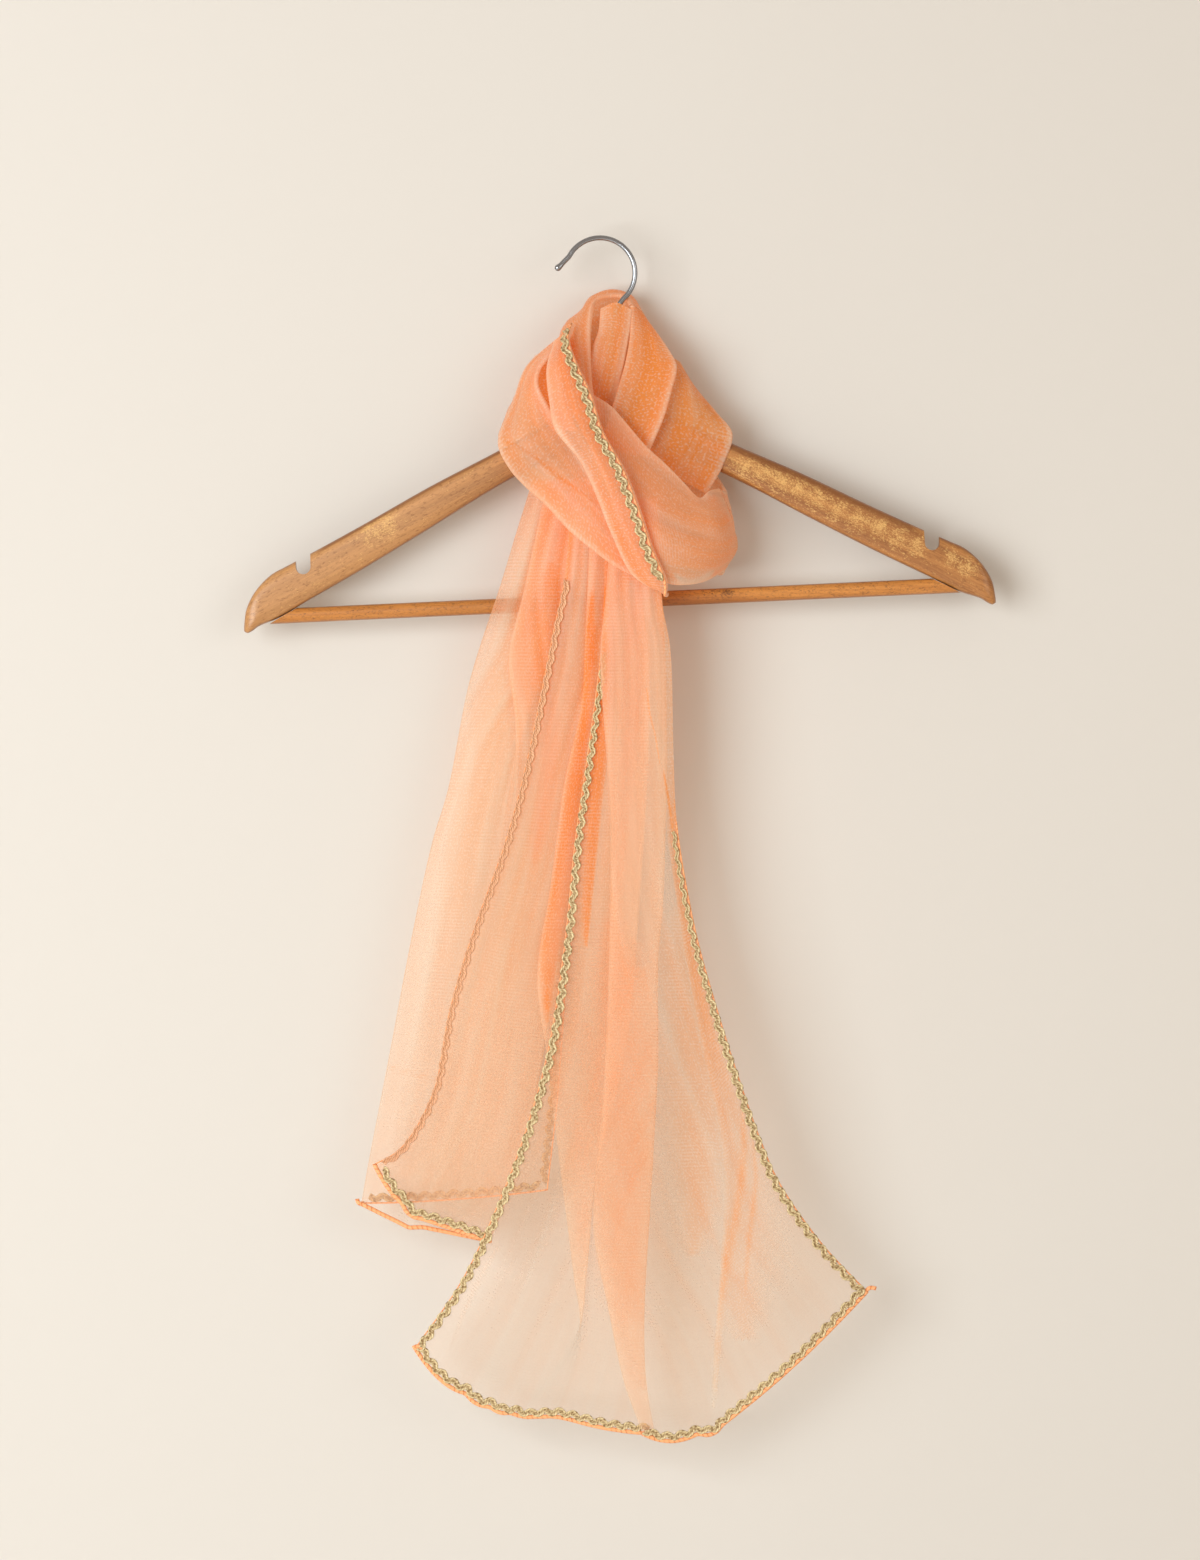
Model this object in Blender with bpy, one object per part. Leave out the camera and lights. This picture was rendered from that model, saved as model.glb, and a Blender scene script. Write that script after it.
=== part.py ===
"""Dupatta stole wound and looped on a wooden clothes hanger.

Frame: +X to the right, +Y to the back (the wall side), +Z up, origin on the underside of the
hook's top, where a nail or a rail carries it.  The sizes and tables are in millimetres.
Every stretch of the stole is a wall of even thickness.  Its folds and edges are rails, each a
row of a table, and a smooth surface through the rails is the middle of the cloth.
"""
import math
from typing import NamedTuple

import bmesh
import bpy
import numpy as np

MM = 0.001

# ---------------------------------------------------------------- driving sizes, millimetres
WALL = 1.0                  # cloth wall
SEAM_GAP = 0.3              # clearance between pieces that lie on each other
FOLD_RADIUS = 1.2           # half the distance between two layers of a closed pleat
OPEN_REACH = 9.0            # how far along the cloth an opened pleat eases out
FOLD_TURN = 0.85            # share of the step between two panels that their fold takes up
FOLD_STEPS = 2              # steps in each half of a fold
PANEL_STEP = 18.0           # about how far apart the points across a panel are
PANEL_SHARE = 0.38          # most of a panel's width that the fold at one end may take
HEM_FAN = 4                 # how late the level rows turn to follow a slanting hem
DRAPE_DEPTH = 2.5           # the slow waves in and out of the hanging tails
DRAPE_LENGTH = 120.0
DRAPE_FROM = -240.0         # above this the knot and the bar hold the tails still

TRIM_WIDTH = 3.4            # the gold braid
TRIM_THICKNESS = 0.9
TRIM_SWING = 0.9            # how far its waves swing to each side
TRIM_PERIOD = 7.3           # one wave
TRIM_INSET = 5.0            # from the cloth's edge to the braid's middle
TRIM_LIFT = 0.45            # the braid's clearance above the cloth it follows

HANGER_SPAN = 445.0         # tip to tip
HANGER_THICKNESS = 12.0
HANGER_CENTRE = (10.6, -221.5)      # x and z of the middle between the two tips
HANGER_TILT = math.radians(2.2)     # the right tip is the higher one
HANGER_APEX = 134.0         # top of the wood above the line of the tips
NOTCH_AT = 187.0            # strap notch, from the middle
NOTCH_RADIUS = 3.6
NOTCH_DEPTH = 9.5
WOOD_EDGE = 1.6             # rounded edges of the wood
BAR_HEIGHT = 9.0
BAR_LEVEL = (7.0, 9.9)      # the bar's middle above the line of the tips, left and right
BAR_CLEARANCE = 0.45        # between the bar's ends and the arms
ARM_EDGE = ((201.6, 6.1), (185.0, 15.0))    # the arm's lower edge, where the bar meets it

WIRE_RADIUS = 1.6
HOOK_RADIUS = 20.7          # middle of the wire
HOOK_CENTRE = (-1.2, -19.1)
HOOK_TURN = (152.0, -48.0)  # degrees at which the round arc starts and ends
HOOK_TIP = ((-27.6, -17.2), (-25.2, -15.4), (-22.6, -12.6))
SHANK_X = 5.6
SHANK_DEPTH = 15.0          # how deep the shank stands in the wood


class Row(NamedTuple):
    """One fold or edge of a stretch of cloth, from its upper end to its lower one."""

    fold: str
    points: tuple


# ---------------------------------------------------------------- the stole's two hanging ends
# Points are (x, z).  The rows follow the cloth across its cut width.
LONG_TAIL = (
    Row("left edge", ((2, -154), (1, -213), (-1, -245), (-8, -299), (-16, -355), (-22, -414), (-32, -478),
                      (-46, -528), (-62, -570), (-83, -614), (-110, -653))),
    Row("left crease", ((11, -154), (12, -213), (8, -272), (1, -331), (-5, -390), (-11, -449),
                        (-17, -508),
                        (-27, -561), (-44, -614), (-74, -686))),
    Row("first pleat, right", ((28, -154), (28, -242), (27, -307), (22, -390), (14, -478), (-3, -549),
                               (-9, -608), (-14, -644), (-46, -694))),
    Row("first pleat, left", ((-6, -154), (-10, -237), (-12, -274), (-22, -320), (-30, -380), (-38, -435),
                              (-33, -478), (-25, -543), (-17, -608), (-13, -644), (-28, -694))),
    Row("second pleat, right", ((31, -154), (37, -242), (38, -307), (36, -390), (33, -425), (33, -484),
                                (31, -526), (28, -577), (25, -632), (26, -673), (31, -704))),
    Row("second pleat, left", ((6, -154), (2, -213), (-1, -245), (1, -284), (4, -325), (5, -360),
                               (3, -461),
                               (0, -514), (-5, -582), (3, -626), (13, -673), (24, -704))),
    Row("front crease", ((27, -154), (30, -213), (35, -242), (36, -307), (38, -345), (47, -408),
                         (58, -467), (72, -537), (71, -602), (67, -655), (65, -704))),
    Row("right edge", ((33, -154), (35, -213), (40, -242), (42, -307), (44, -345), (55, -408), (68, -455),
                       (80, -493), (93, -530), (104, -555), (129, -591), (156, -620))),
)
# The depth of each panel between two rows, at the top, at three fifths of the way and at the hem.
LONG_DEPTHS = (
    ("left panel", -25.8, -27.5, -21.0),
    ("left panel, inner", -25.8, -27.5, -21.0),
    ("first pleat, behind", -23.4, -24.5, -19.0),
    ("back panel", -21.0, -21.5, -17.0),
    ("second pleat, behind", -28.2, -30.5, -19.5),
    ("front panel", -33.0, -36.5, -22.0),
    ("right panel", -32.6, -36.0, -21.6),
)

SHORT_TAIL = (
    Row("back edge", ((-1, -142), (-6, -213), (-12, -281), (-16, -358), (-21, -437), (-26, -508),
                      (-32, -561))),
    Row("left fold", ((-41, -142), (-50, -171), (-60, -204), (-78, -260), (-91, -325), (-100, -355),
                      (-112, -410), (-127, -489), (-138, -546), (-142, -569))),
    Row("pleat, right", ((-8, -142), (-18, -207), (-31, -248), (-45, -286), (-60, -349), (-74, -437),
                         (-97, -514), (-114, -583))),
    Row("pleat, left", ((-32, -142), (-46, -207), (-55, -248), (-51, -286), (-53, -349), (-66, -437),
                        (-88, -514), (-105, -583))),
    Row("right fold", ((-2, -142), (-12, -209), (-11, -246), (-12, -274), (-22, -320), (-30, -380),
                       (-40, -435), (-45, -500), (-57, -555), (-68, -591))),
    Row("flap crease", ((-10, -142), (-18, -207), (-20, -242), (-25, -272), (-34, -316), (-44, -372),
                        (-58, -425), (-67, -478), (-79, -520), (-98, -555), (-113, -575))),
    Row("front edge", ((-18, -142), (-22, -199), (-28, -228), (-36, -268), (-45, -310), (-57, -355),
                       (-77, -411), (-90, -455), (-100, -504), (-119, -536), (-134, -545))),
)
SHORT_DEPTHS = (
    ("back panel", -4.9, -6.0, -6.5),
    ("front panel, left", -8.4, -10.5, -11.0),
    ("pleat, behind", -11.2, -12.5, -12.0),
    ("front panel", -14.0, -14.5, -13.5),
    ("flap, inner", -17.6, -19.8, -19.0),
    ("flap", -17.6, -19.8, -19.0),
)

# ---------------------------------------------------------------- the wound part round the neck
# Points are (x, y, z).  Each row runs along the wound cloth.
COLLAR_BACK = (
    Row("inner rim", ((-7, -14, -74), (-8, -12, -54), (-7, -5, -41), (-3, 3, -34), (6, 7, -31),
                      (15, 5, -32),
                      (18, -1, -38))),
    Row("arch", ((-15, -14, -74), (-17, -9, -51), (-12, 0, -41), (-7, 9, -33), (6, 13, -28),
                 (17, 11, -31),
                 (24, 3, -42))),
    Row("back", ((-21, -8, -74), (-25, 1, -57), (-21, 10, -49), (-8, 15, -47), (6, 17, -45),
                 (22, 15, -48),
                 (32, 6, -58))),
    Row("back hem", ((-27, 2, -83), (-30, 8, -74), (-25, 12, -71), (-10, 14, -73), (6, 14.5, -74),
                     (25, 13, -73), (39, 8, -73))),
)
LAPEL_INNER = (
    Row("left", ((19, -2, -39), (18, -8, -57), (15, -12, -73), (10, -15, -90), (5, -17, -107),
                 (2, -17, -119))),
    Row("middle", ((22, 1, -41), (29, -8, -63), (28, -14, -80), (23, -17, -98), (18, -19, -116),
                   (14, -20, -127))),
    Row("right", ((26, 3, -45), (39, -7, -65), (43, -13, -75), (40, -17, -89), (35, -20, -106),
                  (25, -22, -129))),
)
LAPEL_OUTER = (
    Row("left", ((32, 5, -63), (37, -6, -78), (33, -11, -95), (28, -14, -113), (25, -15, -127))),
    Row("middle", ((39, 7, -67), (50, -4, -82), (52, -9, -98), (48, -12, -119), (41, -13, -139))),
    Row("right", ((46, 8, -71), (55, 2, -86), (67, -3, -101), (76, -7, -114), (71, -7, -132),
                  (61, -9, -150))),
)
NECK_COVER = (
    Row("left", ((0, -3, -40), (-1, -7, -54), (-4, -9, -63), (-6, -9.5, -74), (-8, -8, -92))),
    Row("middle", ((8, -4, -37), (8, -8, -54), (6, -10.5, -71), (2, -9.5, -89), (0, -7, -106))),
    Row("right", ((17, -4, -41), (16, -6, -51), (14, -8, -63), (12, -9.5, -74), (9, -9, -86),
                  (6, -7, -104))),
)
WRAP_MID = (
    Row("left edge", ((-28, -20, -61), (-32, -29, -77), (-30, -35, -98), (-27, -38, -113),
                      (-12, -41, -133),
                      (-2, -41.5, -155), (5, -40.5, -173), (18, -38.5, -199), (29, -36.6, -207),
                      (31, -34.2, -207))),
    Row("middle", ((-24, -18, -57), (-25, -31, -74), (-19, -38, -95), (-13, -42, -113), (-2, -45, -133),
                   (6, -45, -154), (13, -45, -173), (25, -43, -196), (34, -38.8, -209),
                   (34.5, -34.9, -209))),
    Row("trim edge", ((-18, -14, -50), (-20, -24, -60), (-16, -30, -73), (-7, -37, -93), (0, -41, -115),
                      (12, -44, -137), (22, -45, -163), (29, -44, -184), (37, -41, -203),
                      (37, -36.4, -212),
                      (37, -34.2, -210))),
)
WRAP_LOW = (
    Row("outer edge", ((-20.4, -9.4, -54.3), (-33, -10, -64), (-45, -12, -76), (-53, -14, -98),
                       (-61, -16, -120),
                       (-54, -19, -136), (-42, -24, -149), (-32, -28, -158), (-19, -32, -172),
                       (-7, -34, -182),
                       (6, -34.5, -192), (17, -34.5, -198))),
    Row("fold", ((-20.4, -13.4, -60.3), (-33, -20, -73), (-39, -24, -86), (-44, -27, -104),
                 (-47, -29, -119),
                 (-40, -31, -132), (-25, -34, -145), (-8, -35.5, -161), (2, -35.5, -172),
                 (11, -35.5, -181))),
    Row("inner edge", ((-19.6, -16.4, -65.2), (-25, -23, -83), (-25, -28, -101), (-22, -31, -119),
                       (-13, -34, -133),
                       (-4, -36, -147), (3, -36, -159))),
)
WRAP_TOP = (
    Row("upper edge", ((-11, -20, -90), (5, -24, -100), (14, -27, -110), (26, -29, -124), (38, -30, -135),
                       (48, -30, -145), (58, -28, -154), (64, -22, -150), (70, -9, -148))),
    Row("upper", ((-5, -27, -107), (6, -32, -124), (22, -35, -145), (37, -37, -159), (52, -36, -166),
                  (65, -31, -163), (73, -20, -163), (77, -9, -167))),
    Row("lower", ((5, -34, -133), (14, -38, -154), (27, -40, -173), (41, -41, -181), (58, -38, -185),
                  (72, -28, -184), (80, -9, -182))),
    Row("lower edge", ((15, -34.6, -163), (24, -37, -182), (31, -37, -196), (39, -36, -203),
                       (50, -33, -204),
                       (61, -27, -202), (73, -9, -195))),
)
WRAP_BACK = (
    Row("upper edge", ((-36, -4, -67), (-40, 8, -69), (-13, 18, -78), (22, 20, -98), (58, 17, -127),
                       (74, 8, -148), (71, -8.4, -149))),
    Row("middle", ((-53, -5, -98), (-55, 7, -100), (-25, 18, -113), (11, 20, -133), (52, 17, -160),
                   (77, 8, -170), (78, -8.4, -170))),
    Row("lower edge", ((-60, -6, -114), (-61, 6, -116), (-34, 17, -139), (-1, 19, -163), (37, 16, -186),
                       (70, 7, -197), (73, -8.4, -195))),
)


class Stretch(NamedTuple):
    """A wound stretch: its rows, how finely it is divided, and the gathers along it."""

    name: str
    rows: tuple
    along: int
    across: int
    gathers: float
    gather_depth: float


WOUND = (
    Stretch("collar_back", COLLAR_BACK, 18, 9, 2.0, 0.5),
    Stretch("neck_cover", NECK_COVER, 10, 7, 1.0, 0.4),
    Stretch("lapel_right_inner", LAPEL_INNER, 12, 8, 2.0, 0.6),
    Stretch("lapel_right_outer", LAPEL_OUTER, 10, 8, 1.5, 0.4),
    Stretch("wrap_low", WRAP_LOW, 22, 9, 2.5, 0.9),
    Stretch("wrap_mid", WRAP_MID, 20, 6, 1.0, 0.6),
    Stretch("wrap_top", WRAP_TOP, 18, 10, 2.5, 1.0),
    Stretch("wrap_back", WRAP_BACK, 18, 9, 3.0, 1.0),
)


# ---------------------------------------------------------------- curves and surfaces
def smooth_line(points, count):
    """Evenly spaced points on a smooth curve through the given ones."""
    points = np.asarray(points, dtype=float)
    chord = np.linalg.norm(np.diff(points, axis=0), axis=1)
    knots = np.concatenate(([0.0], np.cumsum(np.sqrt(np.maximum(chord, 1e-6)))))
    slopes = np.diff(points, axis=0) / np.diff(knots)[:, None]
    tangents = np.empty_like(points)
    tangents[0], tangents[-1] = slopes[0], slopes[-1]
    for i in range(1, len(points) - 1):
        before, after = knots[i] - knots[i - 1], knots[i + 1] - knots[i]
        tangents[i] = (slopes[i - 1] * after + slopes[i] * before) / (before + after)
    dense = [points[0]]
    for i, slope in enumerate(slopes):
        span = knots[i + 1] - knots[i]
        for t in np.linspace(0.0, 1.0, 13)[1:]:
            dense.append((2 * t**3 - 3 * t**2 + 1) * points[i] + (t**3 - 2 * t**2 + t) * span * tangents[i]
                         + (3 * t**2 - 2 * t**3) * points[i + 1] + (t**3 - t**2) * span * tangents[i + 1])
    return respace(np.array(dense), count)


def level_line(points, floor, shares):
    """Points on a smooth falling curve at shares of the tail's height.

    The rows lie level down to floor, the lowest hem, and fan out near the line's own hem.
    """
    fine = smooth_line(points, 20 * len(points))
    top, hem = points[0][1], points[-1][1]
    heights = top + (floor - top) * shares + (hem - floor) * shares**HEM_FAN
    return np.stack((np.interp(-heights, -fine[:, 1], fine[:, 0]), heights), axis=1)


def tail_rails(rows, along):
    """Every row's points down a tail, with one step where each pleat opens."""
    floor = min(row.points[-1][1] for row in rows)
    shares = np.linspace(0.0, 1.0, along)
    fine = np.linspace(0.0, 1.0, 401)
    rails = [level_line(row.points, floor, fine)[:, 0] for row in rows]
    for left, right in zip(rails, rails[1:]):
        way = np.sign(right - left)
        for k in np.nonzero(way[1:] != way[:-1])[0]:
            nearest = 1 + int(np.argmin(np.abs(shares[1:-1] - fine[k])))
            shares[nearest] = fine[k]
    return shares, [level_line(row.points, floor, shares) for row in rows]


def respace(line, count):
    """The polyline's points again, evenly spaced along it."""
    steps = np.concatenate(([0.0], np.cumsum(np.linalg.norm(np.diff(line, axis=0), axis=1))))
    places = np.linspace(0.0, steps[-1], count)
    return np.stack([np.interp(places, steps, line[:, axis]) for axis in range(line.shape[1])], axis=1)


def between(start, middle, end, share):
    """A value that eases from start over middle (at three fifths) to end."""
    return np.interp(share, (0.0, 0.6, 1.0), (start, middle, end))


def quarter(start, control_a, control_b, end, steps):
    """Points on a Bezier curve, without its first one."""
    shares = [k / steps for k in range(1, steps + 1)]
    return [(1 - t)**3 * start + 3 * (1 - t)**2 * t * control_a
            + 3 * (1 - t) * t**2 * control_b + t**3 * end for t in shares]


def pleated_section(rails, depths, panel_steps):
    """One row across a pleated sheet.

    rails are the (x, z) of each fold and edge, depths the y of each panel between them.  A fold
    whose two panels run opposite ways is closed and turns on FOLD_RADIUS; one whose panels run on
    the same way eases from one depth to the next over OPEN_REACH.  panel_steps says how many
    steps cross each panel.
    """
    ease = 0.5523               # handle length of a Bezier quarter circle
    ways = [math.copysign(1.0, rails[i + 1][0] - rails[i][0]) for i in range(len(rails) - 1)]
    widths = [np.linalg.norm(rails[i + 1] - rails[i]) for i in range(len(rails) - 1)]
    heads, tails, bends = {}, {}, {}
    for i in range(1, len(rails) - 1):
        same = ways[i - 1] * ways[i] > 0
        reach_in = reach_out = FOLD_RADIUS
        if same:
            reach_in += (OPEN_REACH - FOLD_RADIUS) * min(1.0, widths[i] / (2 * OPEN_REACH))
            reach_out += (OPEN_REACH - FOLD_RADIUS) * min(1.0, widths[i - 1] / (2 * OPEN_REACH))
        reach_in = min(reach_in, PANEL_SHARE * widths[i - 1])
        reach_out = min(reach_out, PANEL_SHARE * widths[i])
        along_in = (rails[i] - rails[i - 1]) / max(widths[i - 1], 1e-6)
        along_out = (rails[i + 1] - rails[i]) / max(widths[i], 1e-6)
        start, end = rails[i] - along_in * reach_in, rails[i] + along_out * reach_out
        level = (depths[i - 1] + depths[i]) / 2
        start = np.array((start[0], level + FOLD_TURN * (depths[i - 1] - level), start[1]))
        end = np.array((end[0], level + FOLD_TURN * (depths[i] - level), end[1]))
        middle = np.array((rails[i][0], level, rails[i][1]))
        turn = (end - start) / 2
        heads[i], tails[i] = start, end
        lead_in = np.array((along_in[0], 0.0, along_in[1])) * reach_in
        lead_out = np.array((along_out[0], 0.0, along_out[1])) * reach_out
        bends[i] = (quarter(start, start + ease * lead_in, middle - ease * turn, middle, FOLD_STEPS)
                    + quarter(middle, middle + ease * turn, end - ease * lead_out, end, FOLD_STEPS))
    last = len(rails) - 1
    heads[last] = np.array((rails[last][0], depths[-1], rails[last][1]))
    point = np.array((rails[0][0], depths[0], rails[0][1]))
    section = [point]
    for i in range(1, len(rails)):
        start = section[-1]
        count = panel_steps[i - 1]
        section += [start + (heads[i] - start) * k / count for k in range(1, count + 1)]
        section += bends.get(i, [])
    return section


def drape(grid):
    """Slow waves that move every layer of a hanging tail together, growing towards the hem."""
    reach = np.clip((DRAPE_FROM - grid[..., 2]) / 360.0, 0.0, 1.0)
    wave = np.sin(2 * math.pi * (grid[..., 0] + 0.22 * grid[..., 2]) / DRAPE_LENGTH)
    grid[..., 1] += DRAPE_DEPTH * reach * wave
    return grid


def hanging_sheet(rows, depths, along):
    """The middle surface of a hanging tail, a grid of points down and across it.

    Also gives the column of the grid on which each row's fold or edge lies.
    """
    shares, rails = tail_rails(rows, along)
    widths = [np.linalg.norm(right - left, axis=1).max() for left, right in zip(rails, rails[1:])]
    panel_steps = [max(1, round(width / PANEL_STEP)) for width in widths]
    grid = []
    for k, share in enumerate(shares):
        levels = [between(top, middle, hem, share) for _, top, middle, hem in depths]
        grid.append(pleated_section([rail[k] for rail in rails], levels, panel_steps))
    columns = np.cumsum([0, *panel_steps])
    columns[1:-1] += FOLD_STEPS * (2 * np.arange(1, len(rows) - 1) - 1)
    columns[-1] = len(grid[0]) - 1
    return drape(np.array(grid)), dict(zip((row.fold for row in rows), columns))


def wound_sheet(stretch):
    """The middle surface of a wound stretch, with its gathers as shallow waves along it."""
    rails = np.array([smooth_line(row.points, stretch.along) for row in stretch.rows])
    grid = np.array([smooth_line(rails[:, k], stretch.across) for k in range(stretch.along)])
    share = np.linspace(0.0, 1.0, stretch.across)
    wave = np.sin(2 * math.pi * stretch.gathers * share) * np.sin(math.pi * share)
    fade = np.sin(math.pi * np.linspace(0.06, 0.94, stretch.along))
    return grid + normals_of(grid) * (stretch.gather_depth * fade[:, None] * wave[None, :])[..., None]


def directions(grid, axis):
    """At each point, the direction that halves the turn between its two neighbours along an axis."""
    steps = np.diff(grid, axis=axis)
    steps /= np.maximum(np.linalg.norm(steps, axis=2, keepdims=True), 1e-9)
    first, last = np.take(steps, [0], axis), np.take(steps, [-1], axis)
    return np.concatenate((first, steps), axis) + np.concatenate((steps, last), axis)


def normals_of(grid):
    """Unit normals of a grid of points."""
    normals = np.cross(directions(grid, 1), directions(grid, 0))
    return normals / np.maximum(np.linalg.norm(normals, axis=2, keepdims=True), 1e-9)


# ---------------------------------------------------------------- solids
def finish_material(name, colour, roughness, metallic=0.0):
    """A plain material with the piece's colour, roughness and metallic value."""
    material = bpy.data.materials.new(name)
    material.use_nodes = True
    shader = material.node_tree.nodes["Principled BSDF"]
    shader.inputs["Base Color"].default_value = (*colour, 1.0)
    shader.inputs["Roughness"].default_value = roughness
    shader.inputs["Metallic"].default_value = metallic
    material.diffuse_color = (*colour, 1.0)
    return material


def new_object(name, points, faces, material):
    """An object from points in millimetres, with its faces turned outwards."""
    mesh = bpy.data.meshes.new(name)
    mesh.from_pydata([[value * MM for value in point] for point in points], [], faces)
    shell = bmesh.new()
    shell.from_mesh(mesh)
    bmesh.ops.recalc_face_normals(shell, faces=shell.faces)
    if shell.calc_volume(signed=True) < 0:
        bmesh.ops.reverse_faces(shell, faces=shell.faces)
    shell.to_mesh(mesh)
    shell.free()
    mesh.materials.append(material)
    mesh.shade_smooth()
    mesh.set_sharp_from_angle(angle=math.radians(50))
    piece = bpy.data.objects.new(name, mesh)
    bpy.context.scene.collection.objects.link(piece)
    return piece


def wall(name, grid, material, thickness=WALL):
    """A closed wall of even thickness on both sides of a grid of points."""
    down, over = grid.shape[:2]
    offset = normals_of(grid) * thickness / 2
    points = np.concatenate(((grid + offset).reshape(-1, 3), (grid - offset).reshape(-1, 3)))
    back = down * over

    def at(row, column):
        return row * over + column

    faces = []
    for i in range(down - 1):
        for j in range(over - 1):
            front = (at(i, j), at(i, j + 1), at(i + 1, j + 1), at(i + 1, j))
            faces += [front, tuple(back + corner for corner in reversed(front))]
    rim = [at(0, j) for j in range(over)]
    rim += [at(i, over - 1) for i in range(1, down)]
    rim += [at(down - 1, j) for j in range(over - 2, -1, -1)]
    rim += [at(i, 0) for i in range(down - 2, 0, -1)]
    for here, there in zip(rim, rim[1:] + rim[:1]):
        faces.append((there, here, back + here, back + there))
    return new_object(name, points, faces, material)


def edge_path(grid, side, inset):
    """Points and normals at a distance inside one edge of a sheet: left, right, top or bottom."""
    normals = normals_of(grid)
    lines, turns = grid, normals
    if side in ("top", "bottom"):
        lines, turns = grid.transpose(1, 0, 2), normals.transpose(1, 0, 2)
    if side in ("right", "bottom"):
        lines, turns = lines[:, ::-1], turns[:, ::-1]
    path, ups = [], []
    for line, turn in zip(lines, turns):
        steps = np.concatenate(([0.0], np.cumsum(np.linalg.norm(np.diff(line, axis=0), axis=1))))
        path.append([np.interp(inset, steps, line[:, axis]) for axis in range(3)])
        ups.append([np.interp(inset, steps, turn[:, axis]) for axis in range(3)])
    return np.array(path), np.array(ups)


def braid(name, path, ups, material, face, skip=(0.0, 0.0)):
    """A flat braid that waves along a path on a sheet.

    face is 1 or -1, the side of the sheet it lies on, and skip is what stays bare at its two ends.
    """
    steps = np.concatenate(([0.0], np.cumsum(np.linalg.norm(np.diff(path, axis=0), axis=1))))
    count = max(4, 2 * round((steps[-1] - sum(skip)) / TRIM_PERIOD))
    places = np.linspace(skip[0], steps[-1] - skip[1], count + 1)
    centre = np.stack([np.interp(places, steps, path[:, axis]) for axis in range(3)], axis=1)
    up = np.stack([np.interp(places, steps, ups[:, axis]) for axis in range(3)], axis=1)
    up = face * up / np.linalg.norm(up, axis=1, keepdims=True)
    tangent = np.gradient(centre, axis=0)
    tangent /= np.linalg.norm(tangent, axis=1, keepdims=True)
    aside = np.cross(tangent, up)
    aside /= np.linalg.norm(aside, axis=1, keepdims=True)
    swing = TRIM_SWING * np.where(np.arange(count + 1) % 2, 1.0, -1.0)[:, None]
    middle = centre + aside * swing + up * (WALL / 2 + TRIM_LIFT + TRIM_THICKNESS / 2)
    corners = ((-1, -1), (1, -1), (1, 1), (-1, 1))
    points, faces = [], []
    for place, out, lift in zip(middle, aside, up):
        points += [place + out * a * TRIM_WIDTH / 2 + lift * b * TRIM_THICKNESS / 2 for a, b in corners]
    for k in range(count):
        for c in range(4):
            d = (c + 1) % 4
            faces.append((4 * k + c, 4 * k + d, 4 * k + 4 + d, 4 * k + 4 + c))
    faces += [(3, 2, 1, 0), tuple(4 * count + c for c in range(4))]
    return new_object(name, points, faces, material)


# ---------------------------------------------------------------- the hanger
def hanger_to_world(x, z):
    """From the hanger's own level frame to the tilted one it hangs in."""
    cosine, sine = math.cos(HANGER_TILT), math.sin(HANGER_TILT)
    return HANGER_CENTRE[0] + x * cosine - z * sine, HANGER_CENTRE[1] + x * sine + z * cosine


def arm_outline():
    """The right half of the wood's outline, from the top of the neck round to the bottom middle."""
    neck = smooth_line(((0, HANGER_APEX), (7, 132.5), (16, 126.5), (30, 119.0), (68, 99.8), (110, 79.8),
                        (150, 59.0), (NOTCH_AT - NOTCH_RADIUS - 1.2, 42.4)), 12)
    notch = []
    for k in range(7):
        angle = math.pi + math.pi * k / 6
        notch.append((NOTCH_AT - 1.0 + NOTCH_RADIUS * math.cos(angle),
                      40.0 - NOTCH_DEPTH + NOTCH_RADIUS + NOTCH_RADIUS * math.sin(angle)))
    nose = smooth_line(((NOTCH_AT + NOTCH_RADIUS + 0.8, 38.4), (197, 35.8), (205, 31.8), (214.5, 22.8),
                        (220.6, 12.0), (HANGER_SPAN / 2, 1.6), (221.4, -2.4), (217.5, -1.0)), 12)
    under = smooth_line(((213.6, 1.6), ARM_EDGE[0], ARM_EDGE[1], (152.6, 32.0), (113, 54.0), (79.9, 73.0),
                         (58.7, 84.2), (38, 93.6), (18, 99.4), (0, 101.0)), 16)
    return [*map(tuple, neck), *notch, *map(tuple, nose), *map(tuple, under)]


def build_hanger_body(wood):
    """The shaped wooden arms in one piece, with the strap notches and the hole for the hook."""
    right = arm_outline()
    outline = right + [(-x, z) for x, z in reversed(right[1:-1])]
    count = len(outline)
    half = HANGER_THICKNESS / 2
    world = [hanger_to_world(x, z) for x, z in outline]
    points = [(x, y, z) for y in (-half, half) for x, z in world]
    faces = [tuple(range(count)), tuple(range(2 * count - 1, count - 1, -1))]
    faces += [(i, (i + 1) % count, count + (i + 1) % count, count + i) for i in range(count)]
    body = new_object("hanger_body", points, [tuple(reversed(face)) for face in faces], wood)
    bevel = body.modifiers.new("rounded edges", "BEVEL")
    bevel.width = WOOD_EDGE * MM
    bevel.segments = 2
    bevel.limit_method = "ANGLE"
    bevel.angle_limit = math.radians(60)
    drilled = rod_mesh(WIRE_RADIUS + SEAM_GAP, wood_top() - SHANK_DEPTH - 1.0, wood_top() + 6.0)
    hole = new_object("hook_hole", *drilled, wood)
    hole.hide_render = True
    hole.display_type = "WIRE"
    drill = body.modifiers.new("hole for the hook", "BOOLEAN")
    drill.operation = "DIFFERENCE"
    drill.object = hole
    return body


def wood_top():
    """The height of the wood under the hook."""
    return hanger_to_world(0, HANGER_APEX)[1]


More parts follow.
